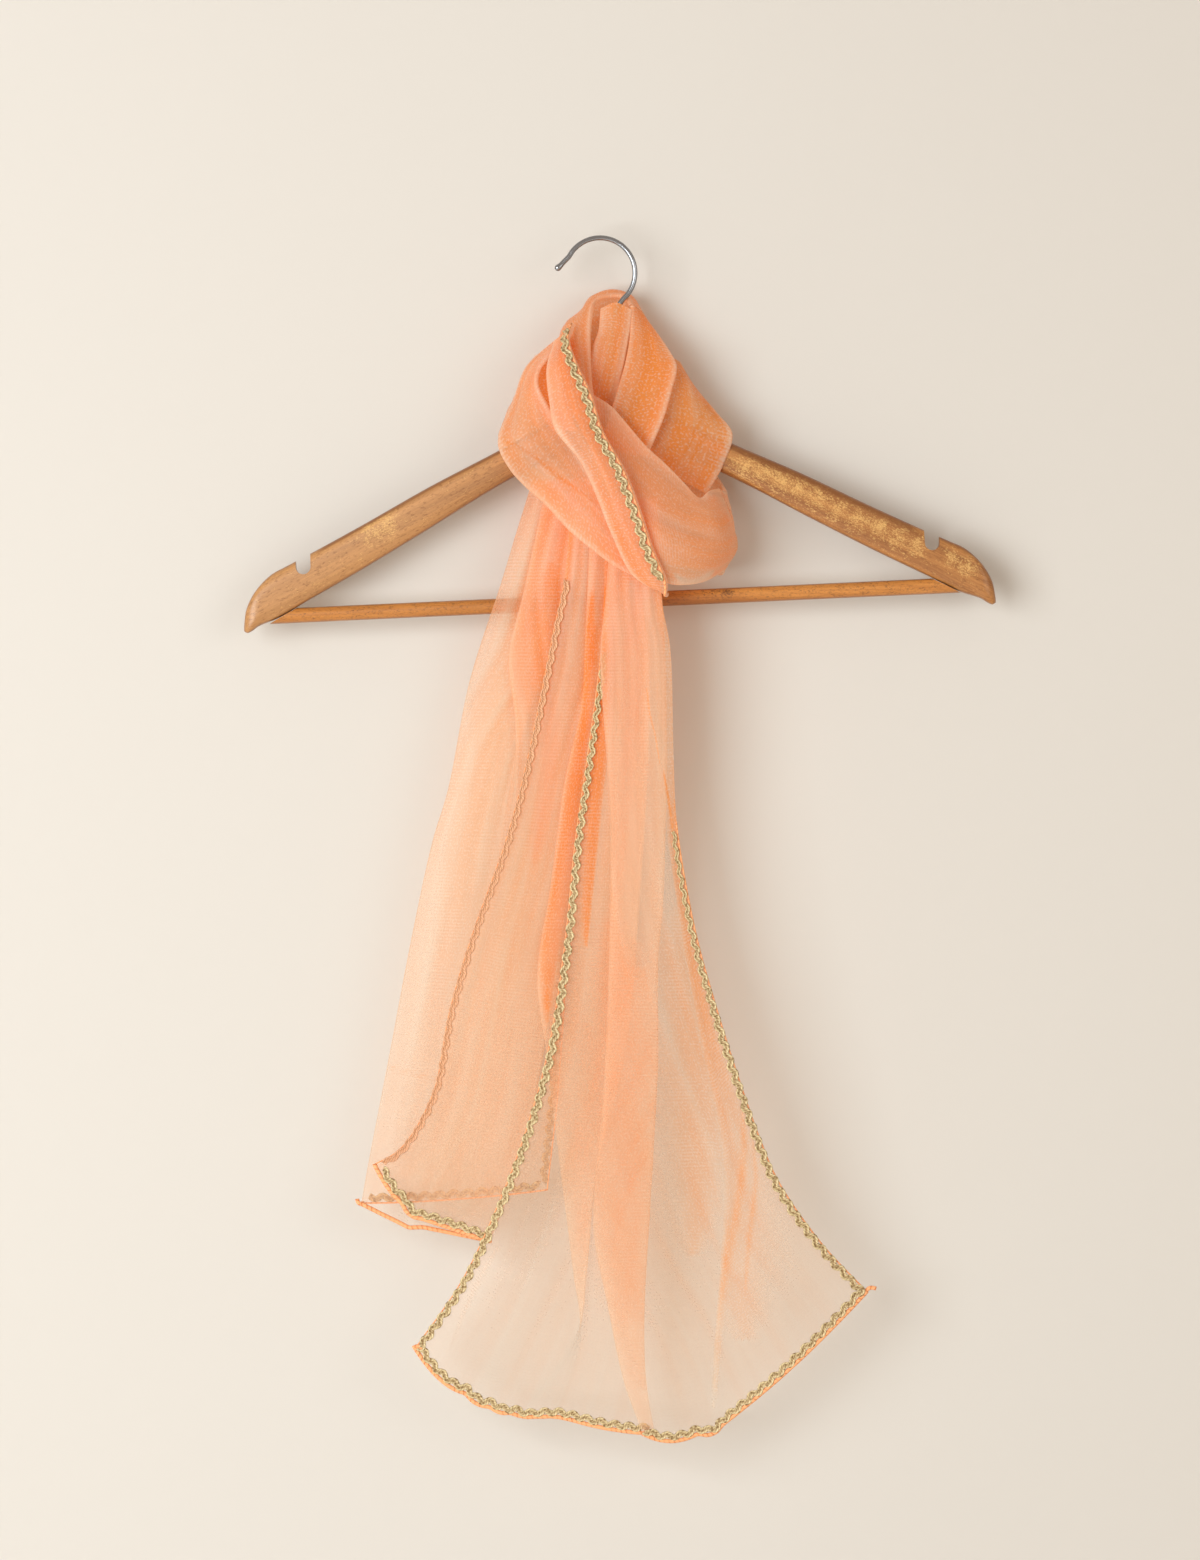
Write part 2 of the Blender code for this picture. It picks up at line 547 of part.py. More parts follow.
def rod_mesh(radius, bottom, top, sides=12):
    """Points and faces of an upright rod round the shank."""
    turns = [2 * math.pi * k / sides for k in range(sides)]
    ring = [(SHANK_X + radius * math.cos(turn), radius * math.sin(turn)) for turn in turns]
    points = [(x, y, z) for z in (bottom, top) for x, y in ring]
    faces = [tuple(range(sides - 1, -1, -1)), tuple(range(sides, 2 * sides))]
    faces += [(k, (k + 1) % sides, sides + (k + 1) % sides, sides + k) for k in range(sides)]
    return points, faces


def build_hanger_bar(wood):
    """The round trouser bar, its ends cut along the arms' lower edges."""
    (x_low, z_low), (x_high, z_high) = ARM_EDGE
    run = (x_high - x_low) / (z_high - z_low)
    length = math.hypot(1.0, run)
    sides = 12
    points, faces = [], []
    for side in (-1, 1):
        level = BAR_LEVEL[0] if side < 0 else BAR_LEVEL[1]
        for k in range(sides):
            angle = 2 * math.pi * k / sides
            z = level + BAR_HEIGHT / 2 * math.sin(angle)
            y = BAR_HEIGHT / 2 * math.cos(angle)
            x = x_low + run * (z - z_low) - BAR_CLEARANCE * length
            world = hanger_to_world(side * x, z)
            points.append((world[0], y, world[1]))
    faces.append(tuple(range(sides)))
    faces.append(tuple(range(2 * sides - 1, sides - 1, -1)))
    faces += [((k + 1) % sides, k, sides + k, sides + (k + 1) % sides) for k in range(sides)]
    return new_object("hanger_bar", points, faces, wood)


def build_hook(steel):
    """The wire hook: tip, arc over the nail, and the shank down into the wood."""
    arc = []
    for angle in np.radians(np.linspace(*HOOK_TURN, 17)):
        arc.append((HOOK_CENTRE[0] + HOOK_RADIUS * math.cos(angle),
                    HOOK_CENTRE[1] + HOOK_RADIUS * math.sin(angle)))
    bottom = wood_top() - SHANK_DEPTH
    shank = [(9.2, -39.6), (6.6, -45.5), (SHANK_X, -53.0), (SHANK_X, -70.0), (SHANK_X, bottom)]
    line = smooth_line([*HOOK_TIP, *arc, *shank], 44)
    curve = bpy.data.curves.new("hanger_hook", "CURVE")
    curve.dimensions = "3D"
    curve.bevel_depth = WIRE_RADIUS * MM
    curve.bevel_resolution = 2
    curve.use_fill_caps = True
    spline = curve.splines.new("POLY")
    spline.points.add(len(line) - 1)
    for point, (x, z) in zip(spline.points, line):
        point.co = (x * MM, 0.0, z * MM, 1.0)
    curve.materials.append(steel)
    hook = bpy.data.objects.new("hanger_hook", curve)
    bpy.context.scene.collection.objects.link(hook)
    return hook


def main():
    """Builds the stole and its hanger."""
    for leftover in list(bpy.data.objects):
        bpy.data.objects.remove(leftover, do_unlink=True)
    organza = finish_material("organza", (0.93, 0.42, 0.17), 0.55)
    gold = finish_material("gold_braid", (0.50, 0.42, 0.22), 0.5, 0.3)
    wood = finish_material("varnished_wood", (0.46, 0.22, 0.08), 0.42)
    steel = finish_material("polished_steel", (0.62, 0.62, 0.63), 0.2, 1.0)

    build_hanger_body(wood)
    build_hanger_bar(wood)
    build_hook(steel)

    surfaces = {stretch.name: wound_sheet(stretch) for stretch in WOUND}
    surfaces["tail_short"], short_folds = hanging_sheet(SHORT_TAIL, SHORT_DEPTHS, 18)
    surfaces["tail_long"], long_folds = hanging_sheet(LONG_TAIL, LONG_DEPTHS, 19)
    for name, grid in surfaces.items():
        wall(name, grid, organza)

    corner = TRIM_INSET + TRIM_WIDTH / 2 + 2 * TRIM_SWING + SEAM_GAP
    long_tail, short_tail = surfaces["tail_long"], surfaces["tail_short"]
    left_hem = long_tail[:, :long_folds["second pleat, right"] - 1]
    right_hem = long_tail[:, long_folds["second pleat, left"] + FOLD_STEPS:]
    back_panel = short_tail[:, :short_folds["left fold"]]
    flap = short_tail[:, short_folds["right fold"] + 1:]
    braid("trim_wrap", *edge_path(surfaces["wrap_mid"], "right", TRIM_INSET - 1.5), gold, -1, (3.0, 16.0))
    braid("trim_long_left", *edge_path(long_tail, "left", TRIM_INSET), gold, -1, (90.0, corner))
    braid("trim_long_hem_left", *edge_path(left_hem, "bottom", TRIM_INSET), gold, -1, (1.0, 2.0))
    braid("trim_long_hem_right", *edge_path(right_hem, "bottom", TRIM_INSET), gold, -1, (2.0, 1.0))
    braid("trim_long_right", *edge_path(long_tail, "right", TRIM_INSET), gold, -1, (200.0, corner))
    braid("trim_short_side", *edge_path(flap, "right", TRIM_INSET), gold, -1, (90.0, 2.0))
    braid("trim_short_hem", *edge_path(flap, "bottom", TRIM_INSET), gold, 1, (3.0, 1.0))
    braid("trim_back_side", *edge_path(back_panel, "left", TRIM_INSET), gold, -1, (150.0, corner))
    braid("trim_back_hem", *edge_path(back_panel, "bottom", TRIM_INSET), gold, -1, (1.0, 4.0))


main()
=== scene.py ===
"""The looks of a dupatta stole, wound and looped on a wooden clothes hanger.

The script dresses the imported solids, which stay where they are.  Cloth, edges and braids are
modelled from the folds and edges of each stretch, in the solids' own frame: +X to the right, +Y
to the wall, +Z up, the origin under the top of the hook.  Tables and sizes are in millimetres.
"""
from __future__ import annotations

import logging
import math
from dataclasses import dataclass, field
from enum import Enum
from typing import NamedTuple, Sequence

import bpy
import numpy as np
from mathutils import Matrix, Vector

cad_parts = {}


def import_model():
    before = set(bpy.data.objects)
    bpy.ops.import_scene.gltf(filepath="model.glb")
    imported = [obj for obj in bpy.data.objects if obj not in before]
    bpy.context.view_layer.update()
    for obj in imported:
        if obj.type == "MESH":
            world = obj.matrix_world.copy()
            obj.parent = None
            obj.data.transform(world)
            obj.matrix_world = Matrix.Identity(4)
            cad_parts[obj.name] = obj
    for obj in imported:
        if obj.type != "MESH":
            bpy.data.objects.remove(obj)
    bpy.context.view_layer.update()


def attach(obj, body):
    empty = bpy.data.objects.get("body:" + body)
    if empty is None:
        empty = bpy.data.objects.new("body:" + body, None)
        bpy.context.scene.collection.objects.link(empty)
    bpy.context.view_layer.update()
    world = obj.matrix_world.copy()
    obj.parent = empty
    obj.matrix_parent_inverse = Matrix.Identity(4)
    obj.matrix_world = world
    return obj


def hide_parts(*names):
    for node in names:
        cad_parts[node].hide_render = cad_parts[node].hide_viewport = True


MM = 0.001
BODY = "root"
FULL_TURN = 2.0 * math.pi
ROUND_HANDLE = 0.5523  # the handles that make a Bezier quarter nearly round
log = logging.getLogger("stole")

Points = Sequence[Sequence[float]]
Material = bpy.types.Material
Piece = bpy.types.Object
Socket = bpy.types.NodeSocket
Ramp = tuple[float, float, float, float]  # a value's range, and the range that it is mapped onto


class Row(NamedTuple):
    """One fold or edge of a stretch of cloth, from its upper end to its lower one."""

    fold: str
    points: Points


class Layer(NamedTuple):
    """How far forward a panel between two folds lies, and how far its hem bellies down.

    Attributes:
        panel: the panel's name.
        top: its y at the top.
        middle: its y at three fifths of its length.
        hem: its y at the hem.
        belly: how far the middle of its hem hangs below a straight line.
    """

    panel: str
    top: float
    middle: float
    hem: float
    belly: float = 0.0


class Mark(NamedTuple):
    """A round patch on the front of the wood: worn varnish with a painted highlight, or a stain."""

    x: float
    z: float
    radius: float


class Lamp(NamedTuple):
    """A square soft light that looks at the middle of the object, with its place and size in metres."""

    name: str
    place: tuple[float, float, float]
    size: float
    power: float
    colour: str


class Facing(Enum):
    """The side of a wound stretch that people see, so that its edges roll in away from them."""

    FRONT = -1.0
    BACK = 1.0


class Side(Enum):
    """An edge of a sheet."""

    LEFT = "left"
    RIGHT = "right"
    HEM = "hem"


# ---------------------------------------------------------------- the stole's two hanging ends
# Points are (x, z).  The rows follow the cloth across its cut width.
LONG_TAIL = (
    Row("left edge", (
        (2, -154), (1, -213), (-1, -245), (-8, -299), (-16, -355), (-22, -414), (-32, -478), (-46, -528),
        (-62, -570), (-83, -614), (-110, -653))),
    Row("left crease", (
        (11, -154), (12, -213), (8, -272), (1, -331), (-5, -390), (-11, -449), (-17, -508), (-27, -561),
        (-44, -614), (-74, -686))),
    Row("first pleat, right", (
        (28, -154), (28, -242), (27, -307), (22, -390), (14, -478), (-3, -549), (-9, -608), (-14, -644),
        (-46, -694))),
    Row("first pleat, left", (
        (-6, -154), (-10, -237), (-12, -274), (-22, -320), (-30, -380), (-38, -435), (-33, -478),
        (-25, -543), (-17, -608), (-13, -644), (-28, -694))),
    Row("second pleat, right", (
        (31, -154), (37, -242), (38, -307), (36, -390), (33, -425), (33, -484), (31, -526), (28, -577),
        (25, -632), (26, -673), (31, -704))),
    Row("second pleat, left", (
        (6, -154), (2, -213), (-1, -245), (1, -284), (4, -325), (5, -360), (3, -461), (0, -514), (-5, -582),
        (3, -626), (13, -673), (24, -704))),
    Row("front crease", (
        (27, -154), (30, -213), (35, -242), (36, -307), (38, -345), (47, -408), (58, -467), (72, -537),
        (71, -602), (67, -655), (65, -704))),
    Row("right edge", (
        (33, -154), (35, -213), (40, -242), (42, -307), (44, -345), (55, -408), (68, -455), (80, -493),
        (93, -530), (104, -555), (129, -591), (156, -620))),
)
LONG_LAYERS = (
    Layer("left panel", -25.8, -27.5, -21.0, 5.0),
    Layer("left panel, inner", -25.8, -27.5, -21.0, 1.5),
    Layer("first pleat, behind", -23.4, -24.5, -19.0),
    Layer("back panel", -21.0, -21.5, -17.0, 1.5),
    Layer("second pleat, behind", -28.2, -30.5, -19.5),
    Layer("front panel", -33.0, -36.5, -22.0, 4.0),
    Layer("right panel", -32.6, -36.0, -21.6, 3.0),
)

SHORT_TAIL = (
    Row("back edge", (
        (-1, -142), (-6, -213), (-12, -281), (-16, -358), (-21, -437), (-26, -508), (-32, -561))),
    Row("left fold", (
        (-41, -142), (-50, -171), (-60, -204), (-78, -260), (-91, -325), (-100, -355), (-112, -410),
        (-127, -489), (-138, -546), (-142, -569))),
    Row("pleat, right", (
        (-8, -142), (-18, -207), (-31, -248), (-45, -286), (-60, -349), (-74, -437), (-97, -514),
        (-114, -583))),
    Row("pleat, left", (
        (-32, -142), (-46, -207), (-55, -248), (-51, -286), (-53, -349), (-66, -437), (-88, -514),
        (-105, -583))),
    Row("right fold", (
        (0, -142), (-4, -209), (-3, -246), (-5, -274), (-12, -320), (-19, -380), (-28, -435), (-38, -500),
        (-52, -555), (-66, -591))),
    Row("flap crease", (
        (-10, -142), (-18, -207), (-20, -242), (-25, -272), (-34, -316), (-44, -372), (-58, -425),
        (-67, -478), (-79, -520), (-98, -555), (-113, -575))),
    Row("front edge", (
        (-18, -142), (-22, -199), (-28, -228), (-36, -268), (-45, -310), (-57, -355), (-77, -411),
        (-90, -455), (-100, -504), (-119, -536), (-134, -545))),
)
SHORT_LAYERS = (
    Layer("back panel", -4.9, -6.0, -6.5, 2.0),
    Layer("front panel, left", -8.4, -10.5, -11.0),
    Layer("pleat, behind", -11.2, -12.5, -12.0),
    Layer("front panel", -14.0, -14.5, -13.5),
    Layer("flap, inner", -17.6, -19.8, -19.0),
    Layer("flap", -17.6, -19.8, -19.0, 2.5),
)

# ---------------------------------------------------------------- the wound part round the neck
# Points are (x, y, z).  Each row runs along the wound cloth.
COLLAR_BACK = (
    Row("inner rim", (
        (-3, -24, -104), (-6, -20, -90), (-7.5, -15, -74), (-8, -12, -54), (-7, -5, -41), (-3, 3, -34),
        (6, 7, -31), (15, 5, -32), (18, -1, -38))),
    Row("arch", (
        (-10, -25, -104), (-14, -22, -88), (-16, -15, -71), (-17, -9, -51), (-12, 0, -41), (-7, 9, -33),
        (6, 13, -28), (17, 11, -31), (24, 3, -42))),
    Row("back", (
        (-15, -21, -104), (-21, -14, -88), (-23, -6, -72), (-25, 1, -57), (-21, 10, -49), (-8, 15, -47),
        (6, 17, -45), (22, 15, -48), (32, 6, -58))),
    Row("back hem", (
        (-19, -12, -108), (-26, -4, -96), (-30, 4, -84), (-30, 8, -78), (-25, 12, -84), (-10, 14, -90),
        (6, 14.5, -92), (25, 13, -88), (39, 8, -80))),
)
LAPEL_INNER = (
    Row("left", (
        (19, -2, -39), (18, -8, -57), (15, -12, -73), (10, -15, -90), (5, -17, -107), (2, -17, -119))),
    Row("middle", (
        (22, 1, -41), (29, -8, -63), (28, -14, -80), (23, -17, -98), (18, -19, -116), (14, -20, -127))),
    Row("right", (
        (26, 3, -45), (39, -7, -65), (43, -13, -75), (40, -17, -89), (35, -20, -106), (25, -22, -129))),
)
LAPEL_OUTER = (
    Row("left", ((32, 5, -63), (37, -6, -78), (33, -11, -95), (28, -14, -113), (25, -15, -127))),
    Row("middle", ((39, 7, -67), (50, -4, -82), (52, -9, -98), (48, -12, -119), (41, -13, -139))),
    Row("right", (
        (46, 8, -71), (55, 2, -86), (67, -3, -101), (76, -7, -114), (71, -7, -132), (61, -9, -150))),
)
NECK_COVER = (
    Row("left", ((0, -3, -40), (-1, -7, -54), (-4, -9, -63), (-6, -9.5, -74), (-8, -8, -92))),
    Row("middle", ((8, -4, -37), (8, -8, -54), (6, -10.5, -71), (2, -9.5, -89), (0, -7, -106))),
    Row("right", (
        (17, -4, -41), (16, -6, -51), (14, -8, -63), (12, -9.5, -74), (9, -9, -86), (6, -7, -104))),
)
WRAP_MID = (
    Row("left edge", (
        (-28, -20, -61), (-32, -29, -77), (-30, -35, -98), (-27, -38, -113), (-12, -41, -133),
        (-2, -41.5, -155), (5, -40.5, -173), (18, -38.5, -199), (29, -36.6, -207), (31, -34.2, -207))),
    Row("middle", (
        (-24, -18, -57), (-25, -31, -74), (-19, -38, -95), (-13, -42, -113), (-2, -45, -133),
        (6, -45, -154), (13, -45, -173), (25, -43, -196), (34, -38.8, -209), (34.5, -34.9, -209))),
    Row("trim edge", (
        (-18, -14, -50), (-20, -24, -60), (-16, -30, -73), (-7, -37, -93), (0, -41, -115), (12, -44, -137),
        (22, -45, -163), (29, -44, -184), (37, -41, -203), (37, -36.4, -212), (37, -34.2, -210))),
)
WRAP_LOW = (
    Row("outer edge", (
        (-20.4, -9.4, -54.3), (-33, -10, -64), (-45, -12, -76), (-53, -14, -98), (-61, -16, -120),
        (-54, -19, -136), (-42, -24, -149), (-32, -28, -158), (-19, -32, -172), (-7, -34, -182),
        (6, -34.5, -192), (17, -34.5, -198))),
    Row("fold", (
        (-21, -13.4, -58), (-33, -18, -68), (-42, -22, -82), (-46, -26, -102), (-48, -28.5, -118),
        (-40, -31, -132), (-25, -34, -145), (-8, -35.5, -161), (2, -35.5, -172), (11, -35.5, -181))),
    Row("inner edge", (
        (-22, -17, -62), (-32, -22, -69), (-38.5, -25, -78), (-39, -27, -87), (-34.5, -29, -97),
        (-27, -31, -110), (-16, -33.5, -128), (-4, -36, -147), (3, -36, -159))),
)
LOOP_INSIDE = (
    Row("left", ((-26, -8, -62), (-37, -13, -74), (-41, -17, -86), (-37, -21, -100), (-28, -25, -114))),
    Row("right", ((-18, -11, -62), (-22, -17, -74), (-24, -20, -86), (-22, -24, -100), (-16, -28, -114))),
)
LOOP_CORE = (
    Row("front", (
        (-20, -20, -57), (-21, -28, -73), (-17, -34, -94), (-10, -38, -113), (0, -41, -133),
        (8, -41, -154))),
    Row("back", (
        (-22, -12, -60), (-19, -15, -76), (-11, -17, -96), (-4, -19, -115), (5, -21, -135),
        (12, -25, -156))),
)
WRAP_TOP = (
    Row("upper edge", (
        (-11, -20, -90), (5, -24, -100), (14, -27, -110), (26, -29, -124), (38, -30, -135), (48, -30, -145),
        (58, -28, -154), (64, -22, -150), (70, -9, -148))),
    Row("upper", (
        (-5, -27, -107), (6, -32, -124), (22, -35, -145), (37, -37, -159), (52, -36, -166), (65, -31, -163),
        (73, -20, -163), (77, -9, -167))),
    Row("lower", (
        (5, -34, -133), (14, -38, -154), (27, -40, -173), (41, -41, -181), (58, -38, -185), (72, -28, -184),
        (80, -9, -182))),
    Row("lower edge", (
        (15, -34.6, -163), (24, -37, -182), (31, -37, -196), (39, -36, -203), (50, -33, -204),
        (61, -27, -202), (73, -9, -195))),
)
WRAP_BACK = (
    Row("upper edge", (
        (-36, -4, -67), (-40, 8, -69), (-13, 18, -78), (22, 20, -98), (58, 17, -127), (74, 8, -148),
        (71, -8.4, -149))),
    Row("middle", (
        (-53, -5, -98), (-55, 7, -100), (-25, 18, -113), (11, 20, -133), (52, 17, -160), (77, 8, -170),
        (78, -8.4, -170))),
    Row("lower edge", (
        (-60, -6, -114), (-61, 6, -116), (-34, 17, -139), (-1, 19, -163), (37, 16, -186), (70, 7, -197),
        (73, -8.4, -195))),
)


# ---------------------------------------------------------------- curves and sheets of points
def smooth_line(points: Points, count: int) -> np.ndarray:
    """Lays evenly spaced points on a smooth curve.

    Args:
        points: the points that the curve goes through.
        count: how many points to lay.

    Returns:
        An array of the points.
    """
    points = np.asarray(points, dtype=float)
    chord = np.linalg.norm(np.diff(points, axis=0), axis=1)
    gaps = np.sqrt(np.maximum(chord, 1e-6))[:, None]
    slopes = np.diff(points, axis=0) / gaps
    inner = (slopes[:-1] * gaps[1:] + slopes[1:] * gaps[:-1]) / (gaps[:-1] + gaps[1:])
    tangents = np.concatenate((slopes[:1], inner, slopes[-1:]))
    t = np.linspace(0.0, 1.0, 17)[1:, None]
    rise = 3 * t**2 - 2 * t**3
    dense = [points[:1]]
    for i, gap in enumerate(gaps):
        bend = (t**3 - 2 * t**2 + t) * tangents[i] + (t**3 - t**2) * tangents[i + 1]
        dense.append((1.0 - rise) * points[i] + rise * points[i + 1] + gap * bend)
    line = np.concatenate(dense)
    steps = lengths_along(line)
    return sample(line, steps, np.linspace(0.0, steps[-1], count))


def lengths_along(line: np.ndarray) -> np.ndarray:
    """Gives the distance of each point along a polyline."""
    return np.concatenate(([0.0], np.cumsum(np.linalg.norm(np.diff(line, axis=0), axis=1))))


def sample(values: np.ndarray, steps: np.ndarray, places: np.ndarray | float) -> np.ndarray:
    """Gives the values that a line has at some places, where they are known at its steps."""
    return np.stack([np.interp(places, steps, column) for column in values.T], axis=-1)


def unit(vectors: np.ndarray) -> np.ndarray:
    """Scales vectors, in the last axis, to a length of one."""
    return vectors / np.maximum(np.linalg.norm(vectors, axis=-1, keepdims=True), 1e-9)


def directions(grid: np.ndarray, axis: int) -> np.ndarray:
    """Gives, at each point of a grid, the direction midway between its two steps along an axis."""
    steps = unit(np.diff(grid, axis=axis))
    first, last = np.take(steps, [0], axis), np.take(steps, [-1], axis)
    return np.concatenate((first, steps), axis) + np.concatenate((steps, last), axis)


def normals_of(grid: np.ndarray) -> np.ndarray:
    """Gives the unit normals of a grid of points."""
    return unit(np.cross(directions(grid, 1), directions(grid, 0)))


def gathers(across: np.ndarray, along: np.ndarray, pitch: float, phase: float) -> np.ndarray:
    """Gives the uneven small folds that cloth falls into when it is drawn together.

    Three waves of unlike pitch are added, and all drift slowly down the cloth.

    Args:
        across: places across the cloth, in millimetres.
        along: places along it, in millimetres; the folds drift slowly with them.
        pitch: the usual distance from one fold to the next.
        phase: where the pattern starts, so that no two stretches are alike.

    Returns:
        Heights from about -1 to 1.
    """
    drift = 0.8 * np.sin(along / 71.0 + phase) + 0.5 * np.sin(along / 33.0 + 2.1 * phase)
    turn = FULL_TURN * across / pitch
    return (0.50 * np.sin(turn + phase + drift)
            + 0.32 * np.sin(1.73 * turn + 2.6 * phase - 1.4 * drift)
            + 0.18 * np.sin(2.91 * turn + 4.1 * phase + 2.2 * drift))


def mixed(fold: np.ndarray, finer: np.ndarray, share: float) -> np.ndarray:
    """Mixes a share of the finer gathers into the usual ones."""
    return (1.0 - share) * fold + share * finer


@dataclass(frozen=True)
class Crease:
    """A narrow tuck pressed into the cloth: it adds thicknesses, and painted shade that makes it darker, or a
    painted highlight where that shade is negative.

    Attributes:
        line: the (x, z) points that it runs through, from the top down.
        width: how wide it is at its widest, in millimetres.
        layers: how many thicknesses it adds.
        tint: how much painted shade it adds; a negative amount is a painted highlight.
        panel: the panel's place, counted from the first, on a pleated tail.
        samples: how many points its line is measured at.
        least_reach: half its width at its two ends, in millimetres.
    """

    line: Points
    width: float
    layers: float
    tint: float = 0.3
    panel: int = 0
    samples: int = 80
    least_reach: float = 0.15

    def nearness(self, grid: np.ndarray) -> np.ndarray:
        """Gives how much of the tuck each point has, from 0 to 1."""
        fine = smooth_line(self.line, self.samples)
        far = np.linalg.norm(grid[..., None, (0, 2)] - fine, axis=-1)
        place = far.argmin(axis=-1) / (len(fine) - 1)
        reach = self.width / 2 * np.sin(math.pi * np.clip(place, 0.0, 1.0))**0.5
        return np.exp(-(far.min(axis=-1) / np.maximum(reach, self.least_reach))**2)


@dataclass
class Surface:
    """A stretch of cloth as a grid of points.

    Attributes:
        grid: the points down and across the stretch, in millimetres.
        cut: each point's place in the flat cloth, across and along, in millimetres.
        layers: how many thicknesses of gathered cloth lie at each point.
        tint: the painted shade at each point, from 0 on a lit crest to 1 in a shaded hollow.
    """

    grid: np.ndarray
    cut: np.ndarray
    layers: np.ndarray
    tint: np.ndarray

    def part(self, first: int, last: int | None) -> "Surface":
        """Gives the columns from first up to last."""
        own = slice(first, last)
        return Surface(self.grid[:, own], self.cut[:, own], self.layers[:, own], self.tint[:, own])

    def area(self) -> float:
        """Gives the area of the cloth in square millimetres."""
        one = self.grid[1:, 1:] - self.grid[:-1, :-1]
        two = self.grid[1:, :-1] - self.grid[:-1, 1:]
        return float(np.linalg.norm(np.cross(one, two), axis=2).sum() / 2)

    def size(self) -> tuple[float, float]:
        """Gives the width and the length of the flat cloth, in metres."""
        length = float(np.mean([lengths_along(line)[-1] for line in self.grid.swapaxes(0, 1)]))
        return self.area() / length * MM, length * MM

    def edge(self, side: Side, inset: float) -> tuple[np.ndarray, np.ndarray]:
        """Follows an edge at a distance inside it.

        Args:
            side: which edge.
            inset: the distance from the edge, in millimetres.

        Returns:
            The points of the path and the cloth's normals there.
        """
        lines, turns = self.grid, normals_of(self.grid)
        if side is Side.HEM:
            lines, turns = lines.swapaxes(0, 1), turns.swapaxes(0, 1)
        if side in (Side.RIGHT, Side.HEM):
            lines, turns = lines[:, ::-1], turns[:, ::-1]
        steps = [lengths_along(line) for line in lines]
        path = [sample(line, step, inset) for line, step in zip(lines, steps)]
        ups = [sample(turn, step, inset) for turn, step in zip(turns, steps)]
        return np.array(path), unit(np.array(ups))

    def crease(self, tuck: Crease, first: int = 0, last: int | None = None) -> None:
        """Presses a tuck into the columns from first up to last, with more thicknesses and its painted shade.
        """
        own = slice(first, last)
        near = tuck.nearness(self.grid[:, own])
        self.layers[:, own] += tuck.layers * near
        self.tint[:, own] += tuck.tint * near


